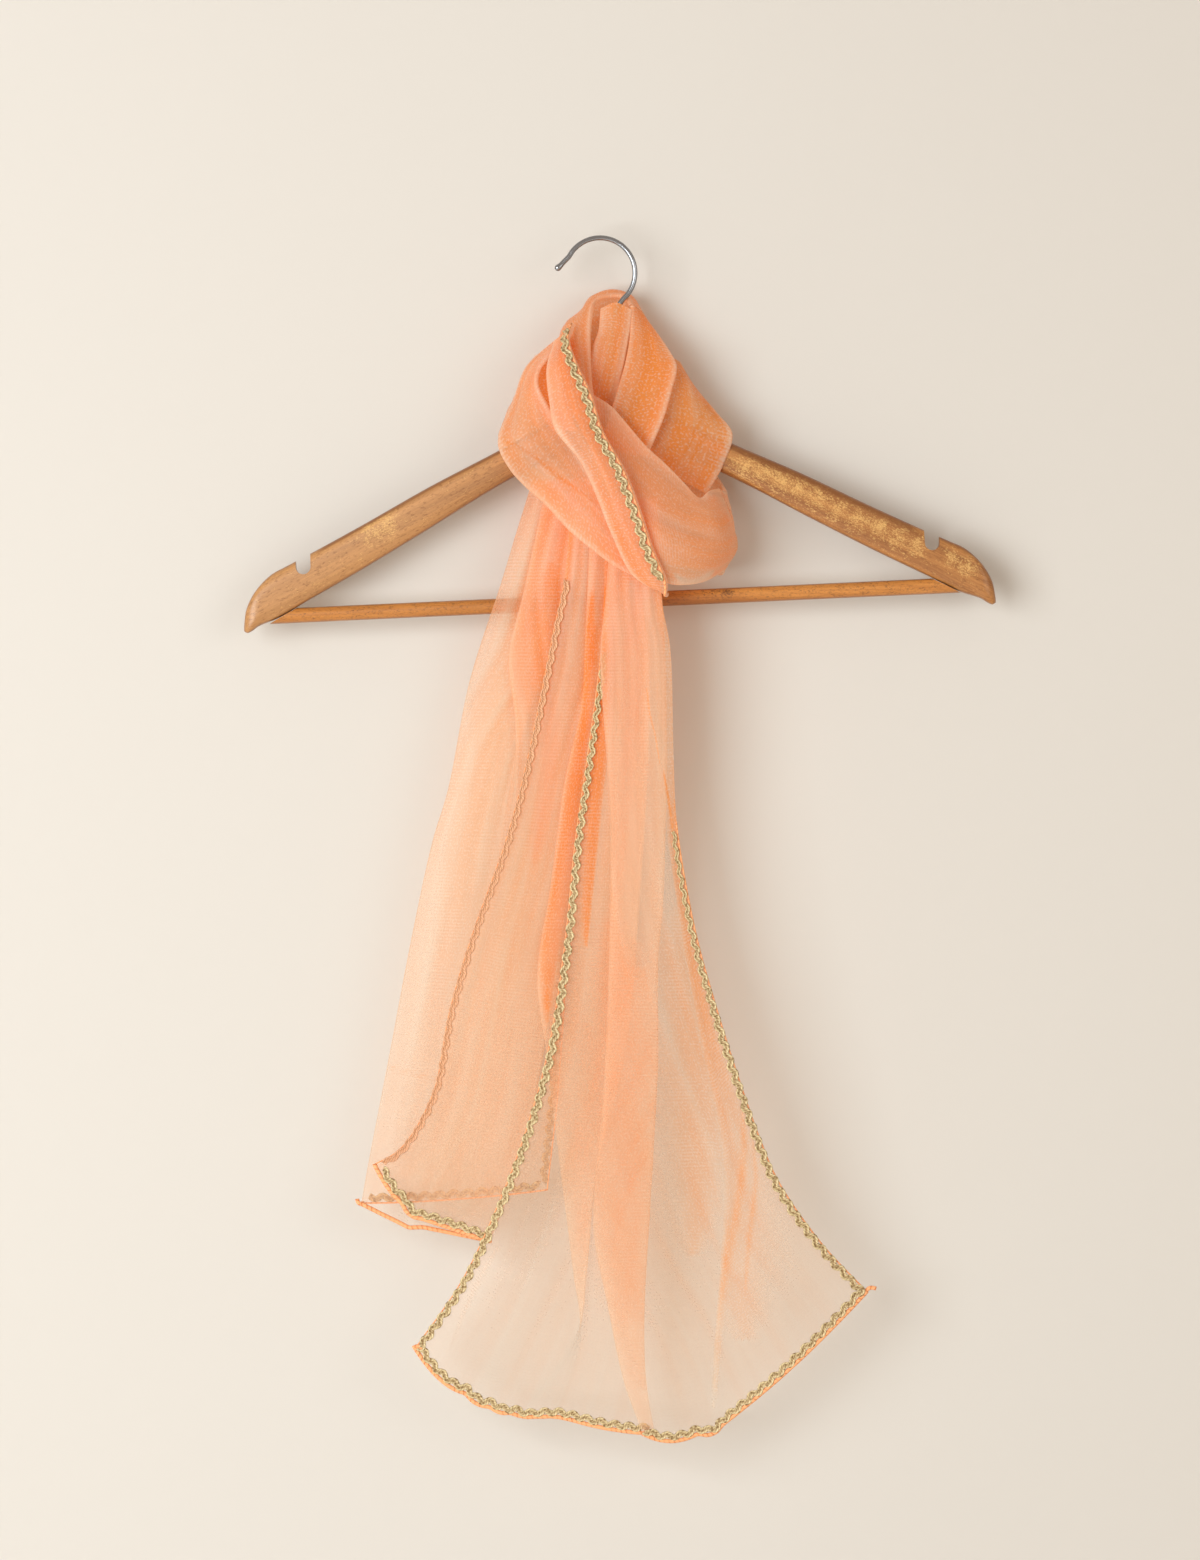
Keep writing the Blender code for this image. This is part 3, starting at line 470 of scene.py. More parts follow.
@dataclass
class HangingTail:
    """One hanging end of the stole: panels between folds, from the knot down to the hem.

    Lengths are in millimetres.  Places down the tail are shares, from 0 at the knot to 1.
    """

    name: str
    rows: tuple[Row, ...]
    panels: tuple[Layer, ...]
    cut_width: float
    cut_length: float
    phase: float
    creases: tuple[Crease, ...] = ()
    down: int = 200  # rows of points
    panel_step: float = 1.5  # from point to point across a panel
    middle_at: float = 0.6  # where the panels' middle depth lies
    hem_fan: int = 4  # how late the rows fan out to the hem
    fold_radius: float = 1.2  # of a fold where the cloth turns back
    open_reach: float = 9.0  # of a bend where it goes on
    fold_turn: float = 0.85  # how far a fold starts towards its panel's depth
    panel_share: float = 0.38  # of a panel that one fold may take
    fold_steps: int = 6
    drape_depth: float = 2.5  # of the broad waves in the open part
    drape_length: float = 120.0
    drape_slant: float = 0.22
    drape_from: float = -240.0
    drape_fade: float = 360.0
    gather_pitch: float = 34.0
    gather_top: float = 0.9  # how high the gathers are under the knot
    gather_hem: float = 0.25
    gather_fade: float = 1.5
    finer_pitch: float = 2.7  # how many finer gathers there are to one
    finer_phase: float = 1.9
    edge_fade: float = 12.0  # how far in the cut edges stay calm
    edge_calm: float = 0.15
    streak: float = 0.30  # how much the gathers thicken the cloth
    streak_fade: float = 0.6  # how much of that is gone at the hem
    streak_finer: float = 0.4  # the share of the finer gathers in it
    base_painted_shade: float = 0.24
    painted_shade_swing: float = 0.42  # the painted shade in the gathers' hollows and the painted highlight on their crests
    painted_shade_fade: float = 0.25
    painted_shade_finer: float = 0.3
    knot_painted_shade: float = 0.45  # painted shade right under the knot
    knot_fade: float = 7.0
    crowd: float = 1.6  # the thicknesses that unseen gathers add at the top
    crowd_reach: float = 0.35
    thin_edge: float = 0.0  # over how wide a strip beside the leftmost fold they come in
    thin_start: float = 0.2
    fold_glint: float = 0.25  # how much paler a fold's rim is
    glint_width: float = 1.6
    folds: dict[str, int] = field(default_factory=dict)

    def level_line(self, points: Points, floor: float, shares: np.ndarray) -> np.ndarray:
        """Lays points on a falling fold, level with the other folds but fanned out at the hem."""
        fine = smooth_line(points, 20 * len(points))
        top, hem = points[0][1], points[-1][1]
        heights = top + (floor - top) * shares + (hem - floor) * shares**self.hem_fan
        return np.stack((np.interp(-heights, -fine[:, 1], fine[:, 0]), heights), axis=1)

    def quarter(self, start: np.ndarray, lead: np.ndarray, trail: np.ndarray,
                end: np.ndarray) -> list[np.ndarray]:
        """Gives the points on a Bezier curve, without its first one."""
        shares = [k / self.fold_steps for k in range(1, self.fold_steps + 1)]
        return [(1 - t)**3 * start + 3 * (1 - t)**2 * t * lead + 3 * (1 - t) * t**2 * trail + t**3 * end
                for t in shares]

    def fold_bend(self, rail: np.ndarray, before: np.ndarray, after: np.ndarray,
                  depths: Sequence[float]) -> tuple[np.ndarray, list[np.ndarray]]:
        """Bends the cloth round one fold.

        Args:
            rail: the fold's (x, z).
            before: the (x, z) of the fold or edge before it.
            after: the one after it.
            depths: the y of the panels before and after it.

        Returns:
            The point where the fold starts, and the points round it.
        """
        lead, trail = rail - before, after - rail
        width_in, width_out = np.linalg.norm(lead), np.linalg.norm(trail)
        reach_in = reach_out = self.fold_radius
        if lead[0] * trail[0] > 0:
            opened = self.open_reach - self.fold_radius
            reach_in += opened * min(1.0, width_out / (2 * self.open_reach))
            reach_out += opened * min(1.0, width_in / (2 * self.open_reach))
        lead = lead / max(width_in, 1e-6) * min(reach_in, self.panel_share * width_in)
        trail = trail / max(width_out, 1e-6) * min(reach_out, self.panel_share * width_out)
        level = (depths[0] + depths[1]) / 2
        start, end = rail - lead, rail + trail
        start = np.array((start[0], level + self.fold_turn * (depths[0] - level), start[1]))
        end = np.array((end[0], level + self.fold_turn * (depths[1] - level), end[1]))
        middle = np.array((rail[0], level, rail[1]))
        turn = ROUND_HANDLE * (end - start) / 2
        lead = ROUND_HANDLE * np.array((lead[0], 0.0, lead[1]))
        trail = ROUND_HANDLE * np.array((trail[0], 0.0, trail[1]))
        bend = self.quarter(start, start + lead, middle - turn, middle)
        return start, bend + self.quarter(middle, middle + turn, end - trail, end)

    def section(self, rails: list[np.ndarray], depths: list[float], steps: list[int],
                share: float) -> np.ndarray:
        """Lays one row of points across the pleated cloth.

        Args:
            rails: the (x, z) of each fold and edge.
            depths: the y of each panel.
            steps: how many steps each panel has.
            share: the row's place down the tail.

        Returns:
            The points of the row.
        """
        points = [np.array((rails[0][0], depths[0], rails[0][1]))]
        last = len(rails) - 1
        for i in range(1, len(rails)):
            goal, bend = np.array((rails[i][0], depths[i - 1], rails[i][1])), []
            if i < last:
                goal, bend = self.fold_bend(rails[i], rails[i - 1], rails[i + 1], depths[i - 1:i + 1])
            start = points[-1]
            belly = self.panels[i - 1].belly * share**self.hem_fan
            for k in range(1, steps[i - 1] + 1):
                part = k / steps[i - 1]
                points.append(start + (goal - start) * part)
                points[-1][2] -= 4.0 * belly * part * (1.0 - part)
            points += bend
        return np.array(points)

    def lay(self, shares: np.ndarray) -> tuple[np.ndarray, np.ndarray]:
        """Lays the pleated sheet and notes each fold's column.

        Args:
            shares: the places of the rows of points down the tail.

        Returns:
            The grid of points, and the columns of the folds and edges.
        """
        floor = min(row.points[-1][1] for row in self.rows)
        rails = [self.level_line(row.points, floor, shares) for row in self.rows]
        widths = [np.linalg.norm(right - left, axis=1).max() for left, right in zip(rails, rails[1:])]
        steps = [max(2, round(width / self.panel_step)) for width in widths]
        grid = []
        for k, share in enumerate(shares):
            depths = [float(np.interp(share, (0.0, self.middle_at, 1.0), (lies.top, lies.middle, lies.hem)))
                      for lies in self.panels]
            grid.append(self.section([rail[k] for rail in rails], depths, steps, share))
        columns = np.cumsum([0, *steps])
        columns[1:-1] += self.fold_steps * (2 * np.arange(1, len(self.rows) - 1) - 1)
        columns[-1] = len(grid[0]) - 1
        self.folds = {row.fold: int(column) for row, column in zip(self.rows, columns)}
        return np.array(grid), columns

    def crowding(self, grid: np.ndarray, columns: np.ndarray) -> np.ndarray:
        """Gives where unseen gathers thicken the cloth: all but a strip beside its leftmost fold."""
        if not self.thin_edge:
            return np.ones(grid.shape[:2])
        fold = grid[:, columns[1], 0][:, None]
        return np.clip((grid[..., 0] - fold) / self.thin_edge - self.thin_start, 0.0, 1.0)

    def surface(self) -> Surface:
        """Builds the tail's sheet, with its slow waves and the gathers that run down from the knot."""
        shares = np.linspace(0.0, 1.0, self.down)
        grid, columns = self.lay(shares)
        down = shares[:, None]
        across = np.array([lengths_along(line) for line in grid])
        developed = across[:, -1:]
        across = across / developed * self.cut_width
        along = np.repeat(down * self.cut_length, grid.shape[1], axis=1)
        fold = gathers(across, along, self.gather_pitch, self.phase)
        finer = gathers(across, along, self.gather_pitch / self.finer_pitch, self.finer_phase * self.phase)
        rise = self.gather_hem + (self.gather_top - self.gather_hem) * (1.0 - down)**self.gather_fade
        from_edge = np.minimum(across, self.cut_width - across)
        grid[..., 1] += fold * rise * np.clip(from_edge / self.edge_fade, self.edge_calm, 1.0)
        reach = np.clip((self.drape_from - grid[..., 2]) / self.drape_fade, 0.0, 1.0)
        wave = np.sin(FULL_TURN * (grid[..., 0] + self.drape_slant * grid[..., 2]) / self.drape_length)
        grid[..., 1] += self.drape_depth * reach * wave
        crowd = self.crowd * np.exp(-down / self.crowd_reach) * self.crowding(grid, columns)
        layers = np.maximum(self.cut_width / developed, 1.0) * (1.0 + crowd)
        layers *= 1.0 + self.streak * (1.0 - self.streak_fade * down) * mixed(fold, finer, self.streak_finer)
        swing = self.painted_shade_swing - self.painted_shade_fade * down
        # Painted shade: a base amount, deeper in the gathers' hollows and right under the knot, paler on
        # their crests, with a painted highlight along each fold.
        tint = self.base_painted_shade + swing * mixed(fold, finer, self.painted_shade_finer)
        tint += self.knot_painted_shade * np.exp(-self.knot_fade * down)
        for column in columns[1:-1]:
            away = np.linalg.norm(grid - grid[:, column][:, None], axis=2)
            tint -= self.fold_glint * np.exp(-(away / self.glint_width)**2)
        cloth = Surface(grid, np.stack((across, along), axis=2), layers, tint)
        for tuck in self.creases:
            cloth.crease(tuck, columns[tuck.panel], columns[tuck.panel + 1])
        np.clip(tint, 0.0, 1.0, out=tint)
        return cloth


@dataclass
class WoundStretch:
    """A stretch of the stole that is wound round the hook and the wood, drawn together by the knot.

    Lengths are in millimetres.
    """

    name: str
    rows: tuple[Row, ...]
    thickness: float  # how many thicknesses of cloth lie in it
    facing: Facing
    pitch: float  # of its gathers
    depth: float  # of its gathers
    phase: float
    shade: float = 0.4  # how much painted shade it has
    creases: tuple[Crease, ...] = ()
    down: int = 90
    over: int = 44
    finer_pitch: float = 3.1  # how many finer gathers there are to one
    finer_phase: float = 2.3
    height_finer: float = 0.08  # the share of the finer gathers in their height
    end_share: float = 0.08  # how much of a wave the stretch lacks at its ends
    streak: tuple[float, float] = (0.10, 0.08)  # how much both kinds of gathers thicken it
    painted_shade_swing: tuple[float, float] = (0.16, 0.05)  # the painted shade in its gathers' hollows and the painted highlight on their crests
    roll: float = 1.3  # the radius of its rolled edges
    roll_turn: float = 150.0
    roll_steps: int = 6
    fold_glint: float = 0.45  # how much paler its edges are
    glint_width: float = 1.8

    def surface(self) -> Surface:
        """Builds the stretch's sheet, with its gathers and its rolled long edges."""
        rails = np.array([smooth_line(row.points, self.down) for row in self.rows])
        grid = np.array([smooth_line(rails[:, k], self.over) for k in range(self.down)])
        across = np.array([lengths_along(line) for line in grid])
        along = np.repeat(lengths_along(grid[:, self.over // 2])[:, None], self.over, axis=1)
        share = across / across[:, -1:]
        usual = float(across[:, -1].mean())
        fold = gathers(share * usual, along, self.pitch, self.phase)
        finer = gathers(share * usual, along, self.pitch / self.finer_pitch, self.finer_phase * self.phase)
        fade = np.sin(math.pi * np.clip(share, 0.0, 1.0))**0.5
        ends = np.sin(math.pi * np.linspace(self.end_share, 1.0 - self.end_share, self.down))[:, None]
        height = self.depth * fade * ends * mixed(fold, finer, self.height_finer)
        grid = grid + normals_of(grid) * height[..., None]
        layers = self.thickness * (1.0 + self.streak[0] * fold + self.streak[1] * finer)
        from_edge = np.minimum(share, 1.0 - share) * usual
        # Painted shade, deeper in the gathers' hollows, with a painted highlight along both long edges.
        tint = self.shade + self.painted_shade_swing[0] * fold + self.painted_shade_swing[1] * finer
        tint -= self.fold_glint * np.exp(-(from_edge / self.glint_width)**2)
        flat = Surface(grid, np.stack((share * usual, along), axis=2), layers, tint)
        for tuck in self.creases:
            flat.crease(tuck)
        np.clip(tint, 0.0, 1.0, out=tint)
        return self.rolled(flat)

    def rolled(self, flat: Surface) -> Surface:
        """Rolls both long edges in, away from the side that people see."""
        normals = normals_of(flat.grid)
        towards = np.sign(normals[..., 1].mean()) * self.facing.value
        turns = np.radians(np.linspace(0.0, self.roll_turn, self.roll_steps + 1))[1:]
        rolls = []
        for column, inner in ((0, 1), (-1, -2)):
            edge = flat.grid[:, column]
            out = unit(edge - flat.grid[:, inner]) * self.roll
            lift = normals[:, column] * towards * self.roll
            bent = [edge + lift * (math.cos(turn) - 1.0) + out * math.sin(turn) for turn in turns]
            rolls.append(np.stack(bent, axis=1))
        pad = ((0, 0), (self.roll_steps, self.roll_steps))
        cut = np.pad(flat.cut, (*pad, (0, 0)), mode="edge")
        return Surface(np.concatenate((rolls[0][:, ::-1], flat.grid, rolls[1]), axis=1), cut,
                       np.pad(flat.layers, pad, mode="edge"), np.pad(flat.tint, pad, mode="edge"))


# ---------------------------------------------------------------- meshes
def finish_piece(piece: Piece, material: Material) -> Piece:
    """Dresses a piece and lets it ride on the object."""
    piece.data.materials.clear()
    piece.data.materials.append(material)
    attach(piece, BODY)
    log.info("%s: %d faces", piece.name, len(piece.data.polygons))
    return piece


def mesh_object(name: str, points: Points, faces: Sequence[Sequence[int]]) -> Piece:
    """Makes a smooth mesh object from points in millimetres."""
    mesh = bpy.data.meshes.new(name)
    mesh.from_pydata((np.asarray(points) * MM).tolist(), [], faces)
    mesh.shade_smooth()
    piece = bpy.data.objects.new(name, mesh)
    bpy.context.scene.collection.objects.link(piece)
    return piece


def select_only(piece: Piece) -> None:
    """Makes one object the only one that operators act on."""
    for other in bpy.context.selected_objects:
        other.select_set(False)
    piece.select_set(True)
    bpy.context.view_layer.objects.active = piece


def tube_object(name: str, rings: np.ndarray) -> Piece:
    """Makes a closed tube through rings of points, with its faces turned outwards.

    Args:
        name: the piece's name.
        rings: the points round each ring, in millimetres.

    Returns:
        The piece, alone selected.
    """
    count, around = rings.shape[:2]
    corner = np.arange(count * around).reshape(count, around)
    beside = np.roll(corner, -1, axis=1)
    faces = np.stack((corner[:-1], beside[:-1], beside[1:], corner[1:]), axis=2).reshape(-1, 4).tolist()
    faces += [corner[0, ::-1].tolist(), corner[-1].tolist()]
    piece = mesh_object(name, rings.reshape(-1, 3), faces)
    select_only(piece)
    bpy.ops.object.mode_set(mode="EDIT")
    bpy.ops.mesh.select_all(action="SELECT")
    bpy.ops.mesh.normals_make_consistent(inside=False)
    bpy.ops.object.mode_set(mode="OBJECT")
    return piece


def set_corner_uv(piece: Piece, places: np.ndarray) -> None:
    """Gives every corner of a mesh its point's place in the flat, in metres."""
    layer = piece.data.uv_layers.new(name="cut")
    corners = np.empty(len(piece.data.loops), dtype=np.int32)
    piece.data.loops.foreach_get("vertex_index", corners)
    layer.data.foreach_set("uv", (places[corners] * MM).ravel().astype(np.float32))


def store(piece: Piece, name: str, values: np.ndarray) -> None:
    """Stores one value for each point of a mesh, for its material to read."""
    layer = piece.data.attributes.new(name, "FLOAT", "POINT")
    layer.data.foreach_set("value", values.ravel().astype(np.float32))


def cloth_object(name: str, cloth: Surface) -> Piece:
    """Makes a sheet of cloth as one open mesh, with its cut coordinates, its layers and its painted shade."""
    down, over = cloth.grid.shape[:2]
    corner = np.arange(down * over).reshape(down, over)
    faces = np.stack((corner[:-1, :-1], corner[:-1, 1:], corner[1:, 1:], corner[1:, :-1]), axis=2)
    piece = mesh_object(name, cloth.grid.reshape(-1, 3), faces.reshape(-1, 4).tolist())
    set_corner_uv(piece, cloth.cut.reshape(-1, 2))
    store(piece, "layers", cloth.layers)
    store(piece, "tint", cloth.tint)
    return piece


def swept_object(name: str, path: np.ndarray, ups: np.ndarray, profile: Points,
                 widths: np.ndarray | float = 1.0) -> Piece:
    """Sweeps a closed profile along a path.

    Args:
        name: the piece's name.
        path: the points of the path, in millimetres.
        ups: the direction that the profile's second coordinate points in, at each point.
        profile: (aside, up) points round the profile.
        widths: how much of its full width the profile has at each point.

    Returns:
        The piece, with UVs of (round the profile, along the path).
    """
    asides, rises = np.array(profile, dtype=float).T
    tangent = unit(np.gradient(path, axis=0))
    aside = unit(np.cross(tangent, ups))
    up = unit(np.cross(aside, tangent))
    reach = asides * (np.ones(len(path)) * widths)[:, None]
    rings = path[:, None] + aside[:, None] * reach[..., None] + up[:, None] * rises[:, None]
    piece = tube_object(name, rings)
    along = np.repeat(lengths_along(path), len(asides))
    set_corner_uv(piece, np.stack((np.tile(asides, len(path)), along), axis=1))
    return piece


@dataclass(frozen=True)
class Gimp:
    """Wavy gold gimp braid: two round cords over a flat core, which swing from side to side.

    Lengths are in millimetres.
    """

    swing: float = 1.1
    width: float = 1.0
    narrowing: float = 0.0  # how much narrower it is at its upper end
    narrow_share: float = 0.45  # of its length, where it gets its full width
    period: float = 8.4
    clearance: float = 0.55
    samples: int = 12  # points to a period
    half_profile: Points = ((1.5, 0.0), (1.85, 0.35), (1.75, 0.75), (1.35, 0.95), (0.9, 0.8), (0.55, 0.5),
                            (0.0, 0.42))

    def build(self, name: str, path: np.ndarray, ups: np.ndarray, face: float,
              bare: tuple[float, float]) -> Piece:
        """Lays the braid along a path on the cloth.

        Args:
            name: the piece's name.
            path: the path on the cloth.
            ups: the cloth's normals along it.
            face: 1 or -1, the side of the cloth it is sewn on.
            bare: how much of the path stays bare at its two ends.

        Returns:
            The braid.
        """
        steps = lengths_along(path)
        length = steps[-1] - sum(bare)
        count = max(8, round(length / self.period * self.samples))
        places = np.linspace(bare[0], steps[-1] - bare[1], count + 1)
        centre, up = sample(path, steps, places), face * unit(sample(ups, steps, places))
        aside = unit(np.cross(unit(np.gradient(centre, axis=0)), up))
        share = np.clip((places - bare[0]) / (self.narrow_share * length), 0.0, 1.0)
        widths = self.width * (1.0 - self.narrowing * (1.0 - share))
        swing = self.swing * widths * np.sin(FULL_TURN * places / self.period)
        line = centre + aside * swing[:, None] + up * self.clearance
        profile = [(-across, rise) for across, rise in self.half_profile] + [*self.half_profile[-2::-1]]
        return swept_object(name, line, up, profile, widths)


@dataclass(frozen=True)
class Piping:
    """The thin corded edge that finishes the cut edges of the stole."""

    radius: float = 0.75
    sides: int = 8
    step: float = 2.0

    def build(self, name: str, path: np.ndarray, ups: np.ndarray) -> Piece:
        """Lays the cord along an edge of the cloth."""
        steps = lengths_along(path)
        places = np.linspace(0.0, steps[-1], max(4, round(steps[-1] / self.step)) + 1)
        turns = [FULL_TURN * k / self.sides for k in range(self.sides)]
        profile = [(self.radius * math.cos(t), self.radius * math.sin(t)) for t in turns]
        return swept_object(name, sample(path, steps, places), unit(sample(ups, steps, places)), profile)


# ---------------------------------------------------------------- finishes
def srgb(hex_colour: str) -> tuple[float, float, float, float]:
    """Turns an sRGB hex colour into the linear colour that a shader reads."""
    channels = [int(hex_colour[i:i + 2], 16) / 255.0 for i in (1, 3, 5)]
    linear = [c / 12.92 if c <= 0.04045 else ((c + 0.055) / 1.055)**2.4 for c in channels]
    return linear[0], linear[1], linear[2], 1.0


def per_metre(pitch: float) -> float:
    """Gives how often a pattern repeats in a metre, from its pitch in millimetres."""
    return 1.0 / MM / pitch


class Shading:
    """A new material and its nodes, with short methods for the nodes that come up most."""

    def __init__(self, name: str) -> None:
        """Makes the material with its Principled shader."""
        self.material = bpy.data.materials.new(name)
        self.material.use_nodes = True
        self.tree = self.material.node_tree
        self.shader = self.tree.nodes["Principled BSDF"]

    def feed(self, node: bpy.types.Node, **inputs: object) -> None:
        """Sets or links a node's inputs, as add describes them."""
        for key, value in inputs.items():
            by_place = key[0] == "i" and key[1:].isdigit()
            socket = node.inputs[int(key[1:])] if by_place else node.inputs[key.replace("_", " ")]
            if isinstance(value, Socket):
                self.tree.links.new(value, socket)
            else:
                socket.default_value = value

    def add(self, kind: str, settings: dict | None = None, **inputs: object) -> bpy.types.Node:
        """Adds a shader node.

        Args:
            kind: the node's type, without its ShaderNode prefix.
            settings: properties of the node itself.
            inputs: values or sockets for its inputs. A name's underscores stand for spaces, and
                i0, i1 and so on name an input by its place.

        Returns:
            The node.
        """
        node = self.tree.nodes.new("ShaderNode" + kind)
        for key, value in (settings or {}).items():
            setattr(node, key, value)
        self.feed(node, **inputs)
        return node

    def finish(self, **inputs: object) -> Material:
        """Sets or links inputs of the Principled shader and gives the material."""
        self.feed(self.shader, **inputs)
        return self.material

    def show(self, surface: Socket) -> None:
        """Links what the material's output shows."""
        self.tree.links.new(surface, self.tree.nodes["Material Output"].inputs["Surface"])

    def flat_place(self) -> Socket:
        """Gives the place in the flat cloth, in metres."""
        return self.add("UVMap", {"uv_map": "cut"}).outputs[0]

    def attribute(self, name: str) -> Socket:
        """Reads a value that the mesh stores at its points."""
        return self.add("Attribute", {"attribute_name": name}).outputs["Fac"]

    def math(self, operation: str, *values: object, clamp: bool = False) -> Socket:
        """Works one sum on up to three values."""
        places = {f"i{k}": value for k, value in enumerate(values)}
        return self.add("Math", {"operation": operation, "use_clamp": clamp}, **places).outputs[0]

    def mix(self, share: object, low: object, high: object, blend: str = "MIX") -> Socket:
        """Mixes two colours, each an sRGB hex or a socket."""
        low, high = (srgb(colour) if isinstance(colour, str) else colour for colour in (low, high))
        settings = {"data_type": "RGBA", "blend_type": blend}
        return self.add("Mix", settings, i0=share, i6=low, i7=high).outputs[2]

    def between(self, one: Socket, other: Socket, share: object) -> Socket:
        """Mixes two shaders."""
        return self.add("MixShader", i0=share, i1=one, i2=other).outputs[0]

    def ramp(self, value: Socket, low: float = 0.0, high: float = 1.0, start: float = 0.0,
             full: float = 1.0, kind: str = "LINEAR") -> Socket:
        """Maps a value's range from low to high onto one from start to full, and holds it there."""
        return self.add("MapRange", {"interpolation_type": kind}, Value=value, From_Min=low, From_Max=high,
                        To_Min=start, To_Max=full).outputs[0]

    def noise(self, place: Socket, scale: float, detail: float, flat: bool = False, **more: float) -> Socket:
        """Draws noise in space, or in the flat cloth."""
        settings = {"noise_dimensions": "2D" if flat else "3D"}
        return self.add("TexNoise", settings, Vector=place, Scale=scale, Detail=detail, **more).outputs[0]

    def moved(self, place: Socket, **change: tuple[float, float, float]) -> Socket:
        """Turns or scales a place."""
        return self.add("Mapping", Vector=place, **change).outputs[0]

    def bands(self, place: Socket, direction: str, pitch: float, distortion: float, **more: float) -> Socket:
        """Draws wavy bands at a pitch in millimetres; a wave texture repeats 20 times in a full turn."""
        settings = {"wave_type": "BANDS", "bands_direction": direction}
        scale = per_metre(pitch) / 20.0 * FULL_TURN
        return self.add("TexWave", settings, Vector=place, Scale=scale, Distortion=distortion,
                        **more).outputs["Fac"]

    def bump(self, height: Socket, strength: float, distance: float) -> Socket:
        """Raises a surface by a height of up to a distance in millimetres."""
        return self.add("Bump", Strength=strength, Distance=distance * MM, Height=height).outputs[0]


@dataclass(frozen=True)
class Organza:
    """Nylon organza: crisp fine yarn in an open plain weave, dyed peach.

    The eye sees through one thickness and reads each further one as a deeper orange.  The dye is
    mixed from its lit colour to its shaded one by the cloth's painted shade, and painted glints on the
    yarn make the weave show as a faint grain that runs along and across the cloth.  Lengths are in
    millimetres, as in the finishes that follow; a bump has its strength and its depth.
    """

    crest: str = "#FFE8CB"  # cloth that faces the light
    hollow: str = "#FFA24A"  # painted shade: the dye in a hollow or under other cloth
    through: str = "#FFC88A"  # light that has come through many thicknesses
    glint: str = "#FFF3E6"
    sheen_tint: str = "#FFE9D6"
    cover: float = 0.215  # how much one thickness hides
    edge_cover: float = 1.3  # how much more it hides where it turns away
    yarn_cover: float = 0.78  # the share of that cover which is even
    slub_cover: float = 0.12
    grain_cover: float = 0.10
    turn_power: float = 2.0
    grain_painted_shade: Ramp = (0.0, 1.0, 0.08, -0.12)  # painted shade between the yarns, painted highlight on them
    grain_shine: Ramp = (0.25, 1.0, 0.0, 0.28)
    thread: float = 1.8  # the real yarns are 0.25 mm apart, drawn coarse enough to show
    glints: float = 1.25  # crossings that catch the light, drawn coarse like the yarns
    slub: float = 1.4
    slub_length: float = 30.0
    patch_scale: float = 34.0  # patches in a metre where the yarns along the cloth show
    patch_share: Ramp = (0.42, 0.64, 0.10, 0.62)
    across_share: float = 0.16  # how clearly the yarns across it show
    glint_share: Ramp = (0.52, 0.68, 0.0, 0.85)
    bump: tuple[float, float] = (0.25, 0.4)
    roughness: float = 0.40
    sheen: float = 0.35
    translucency: float = 0.40

    def material(self) -> Material:
        """Builds the material."""
        make = Shading("organza")
        place = make.flat_place()
        thick, thin = per_metre(self.slub), per_metre(self.slub_length)
        slubs = [make.noise(make.moved(place, Scale=scale), 1.0, 1.0, flat=True)
                 for scale in ((thick, thin, 1.0), (thin, thick, 1.0))]
        grain = self.weave(make, place)
        amount = make.math("MULTIPLY_ADD", make.math("ADD", *slubs), self.slub_cover, self.yarn_cover)
        amount = make.math("MULTIPLY_ADD", grain, self.grain_cover, amount)
        facing = make.add("LayerWeight", Blend=0.5).outputs["Facing"]
        turned = make.math("MULTIPLY_ADD", make.math("POWER", facing, self.turn_power), self.edge_cover, 1.0)
        power = make.math("MULTIPLY", make.math("MULTIPLY", make.attribute("layers"), amount), turned)
        clear = make.math("POWER", 1.0 - self.cover, power)
        cover = make.math("SUBTRACT", 1.0, clear, clamp=True)
        # Painted shade from the mesh and from the weave mixes the lit dye into the shaded one; painted glints
        # then pale it.
        tint = make.math("ADD", make.attribute("tint"), make.ramp(grain, *self.grain_painted_shade), clamp=True)
        dye_with_painted_light = make.mix(tint, self.crest, self.hollow)
        dye_with_painted_light = make.mix(make.ramp(grain, *self.grain_shine), dye_with_painted_light, self.glint)
        glow = make.add("BsdfTranslucent", Color=dye_with_painted_light).outputs[0]
        yarn = make.between(make.shader.outputs[0], glow, self.translucency)
        passed = make.mix(make.math("POWER", cover, 2.0), "#FFFFFF", self.through)
        gap = make.add("BsdfTransparent", Color=passed).outputs[0]
        make.show(make.between(gap, yarn, cover))
        return make.finish(Base_Color=dye_with_painted_light, Roughness=self.roughness, Sheen_Weight=self.sheen,
                           Sheen_Tint=srgb(self.sheen_tint), Normal=make.bump(grain, *self.bump))

    def weave(self, make: Shading, place: Socket) -> Socket:
        """Draws the crossing yarns, which show most clearly in patches."""
        across, along = (make.bands(place, direction, self.thread, distortion, Detail=1.0, Detail_Scale=0.6)
                         for direction, distortion in (("X", 2.0), ("Y", 1.2)))
        patches = make.ramp(make.noise(place, self.patch_scale, 1.0, flat=True), *self.patch_share)
        lines = make.math("MULTIPLY_ADD", across, self.across_share, make.math("MULTIPLY", along, patches))
        glints = make.noise(place, per_metre(self.glints), 1.0, flat=True)
        return make.math("ADD", lines, make.ramp(glints, *self.glint_share))


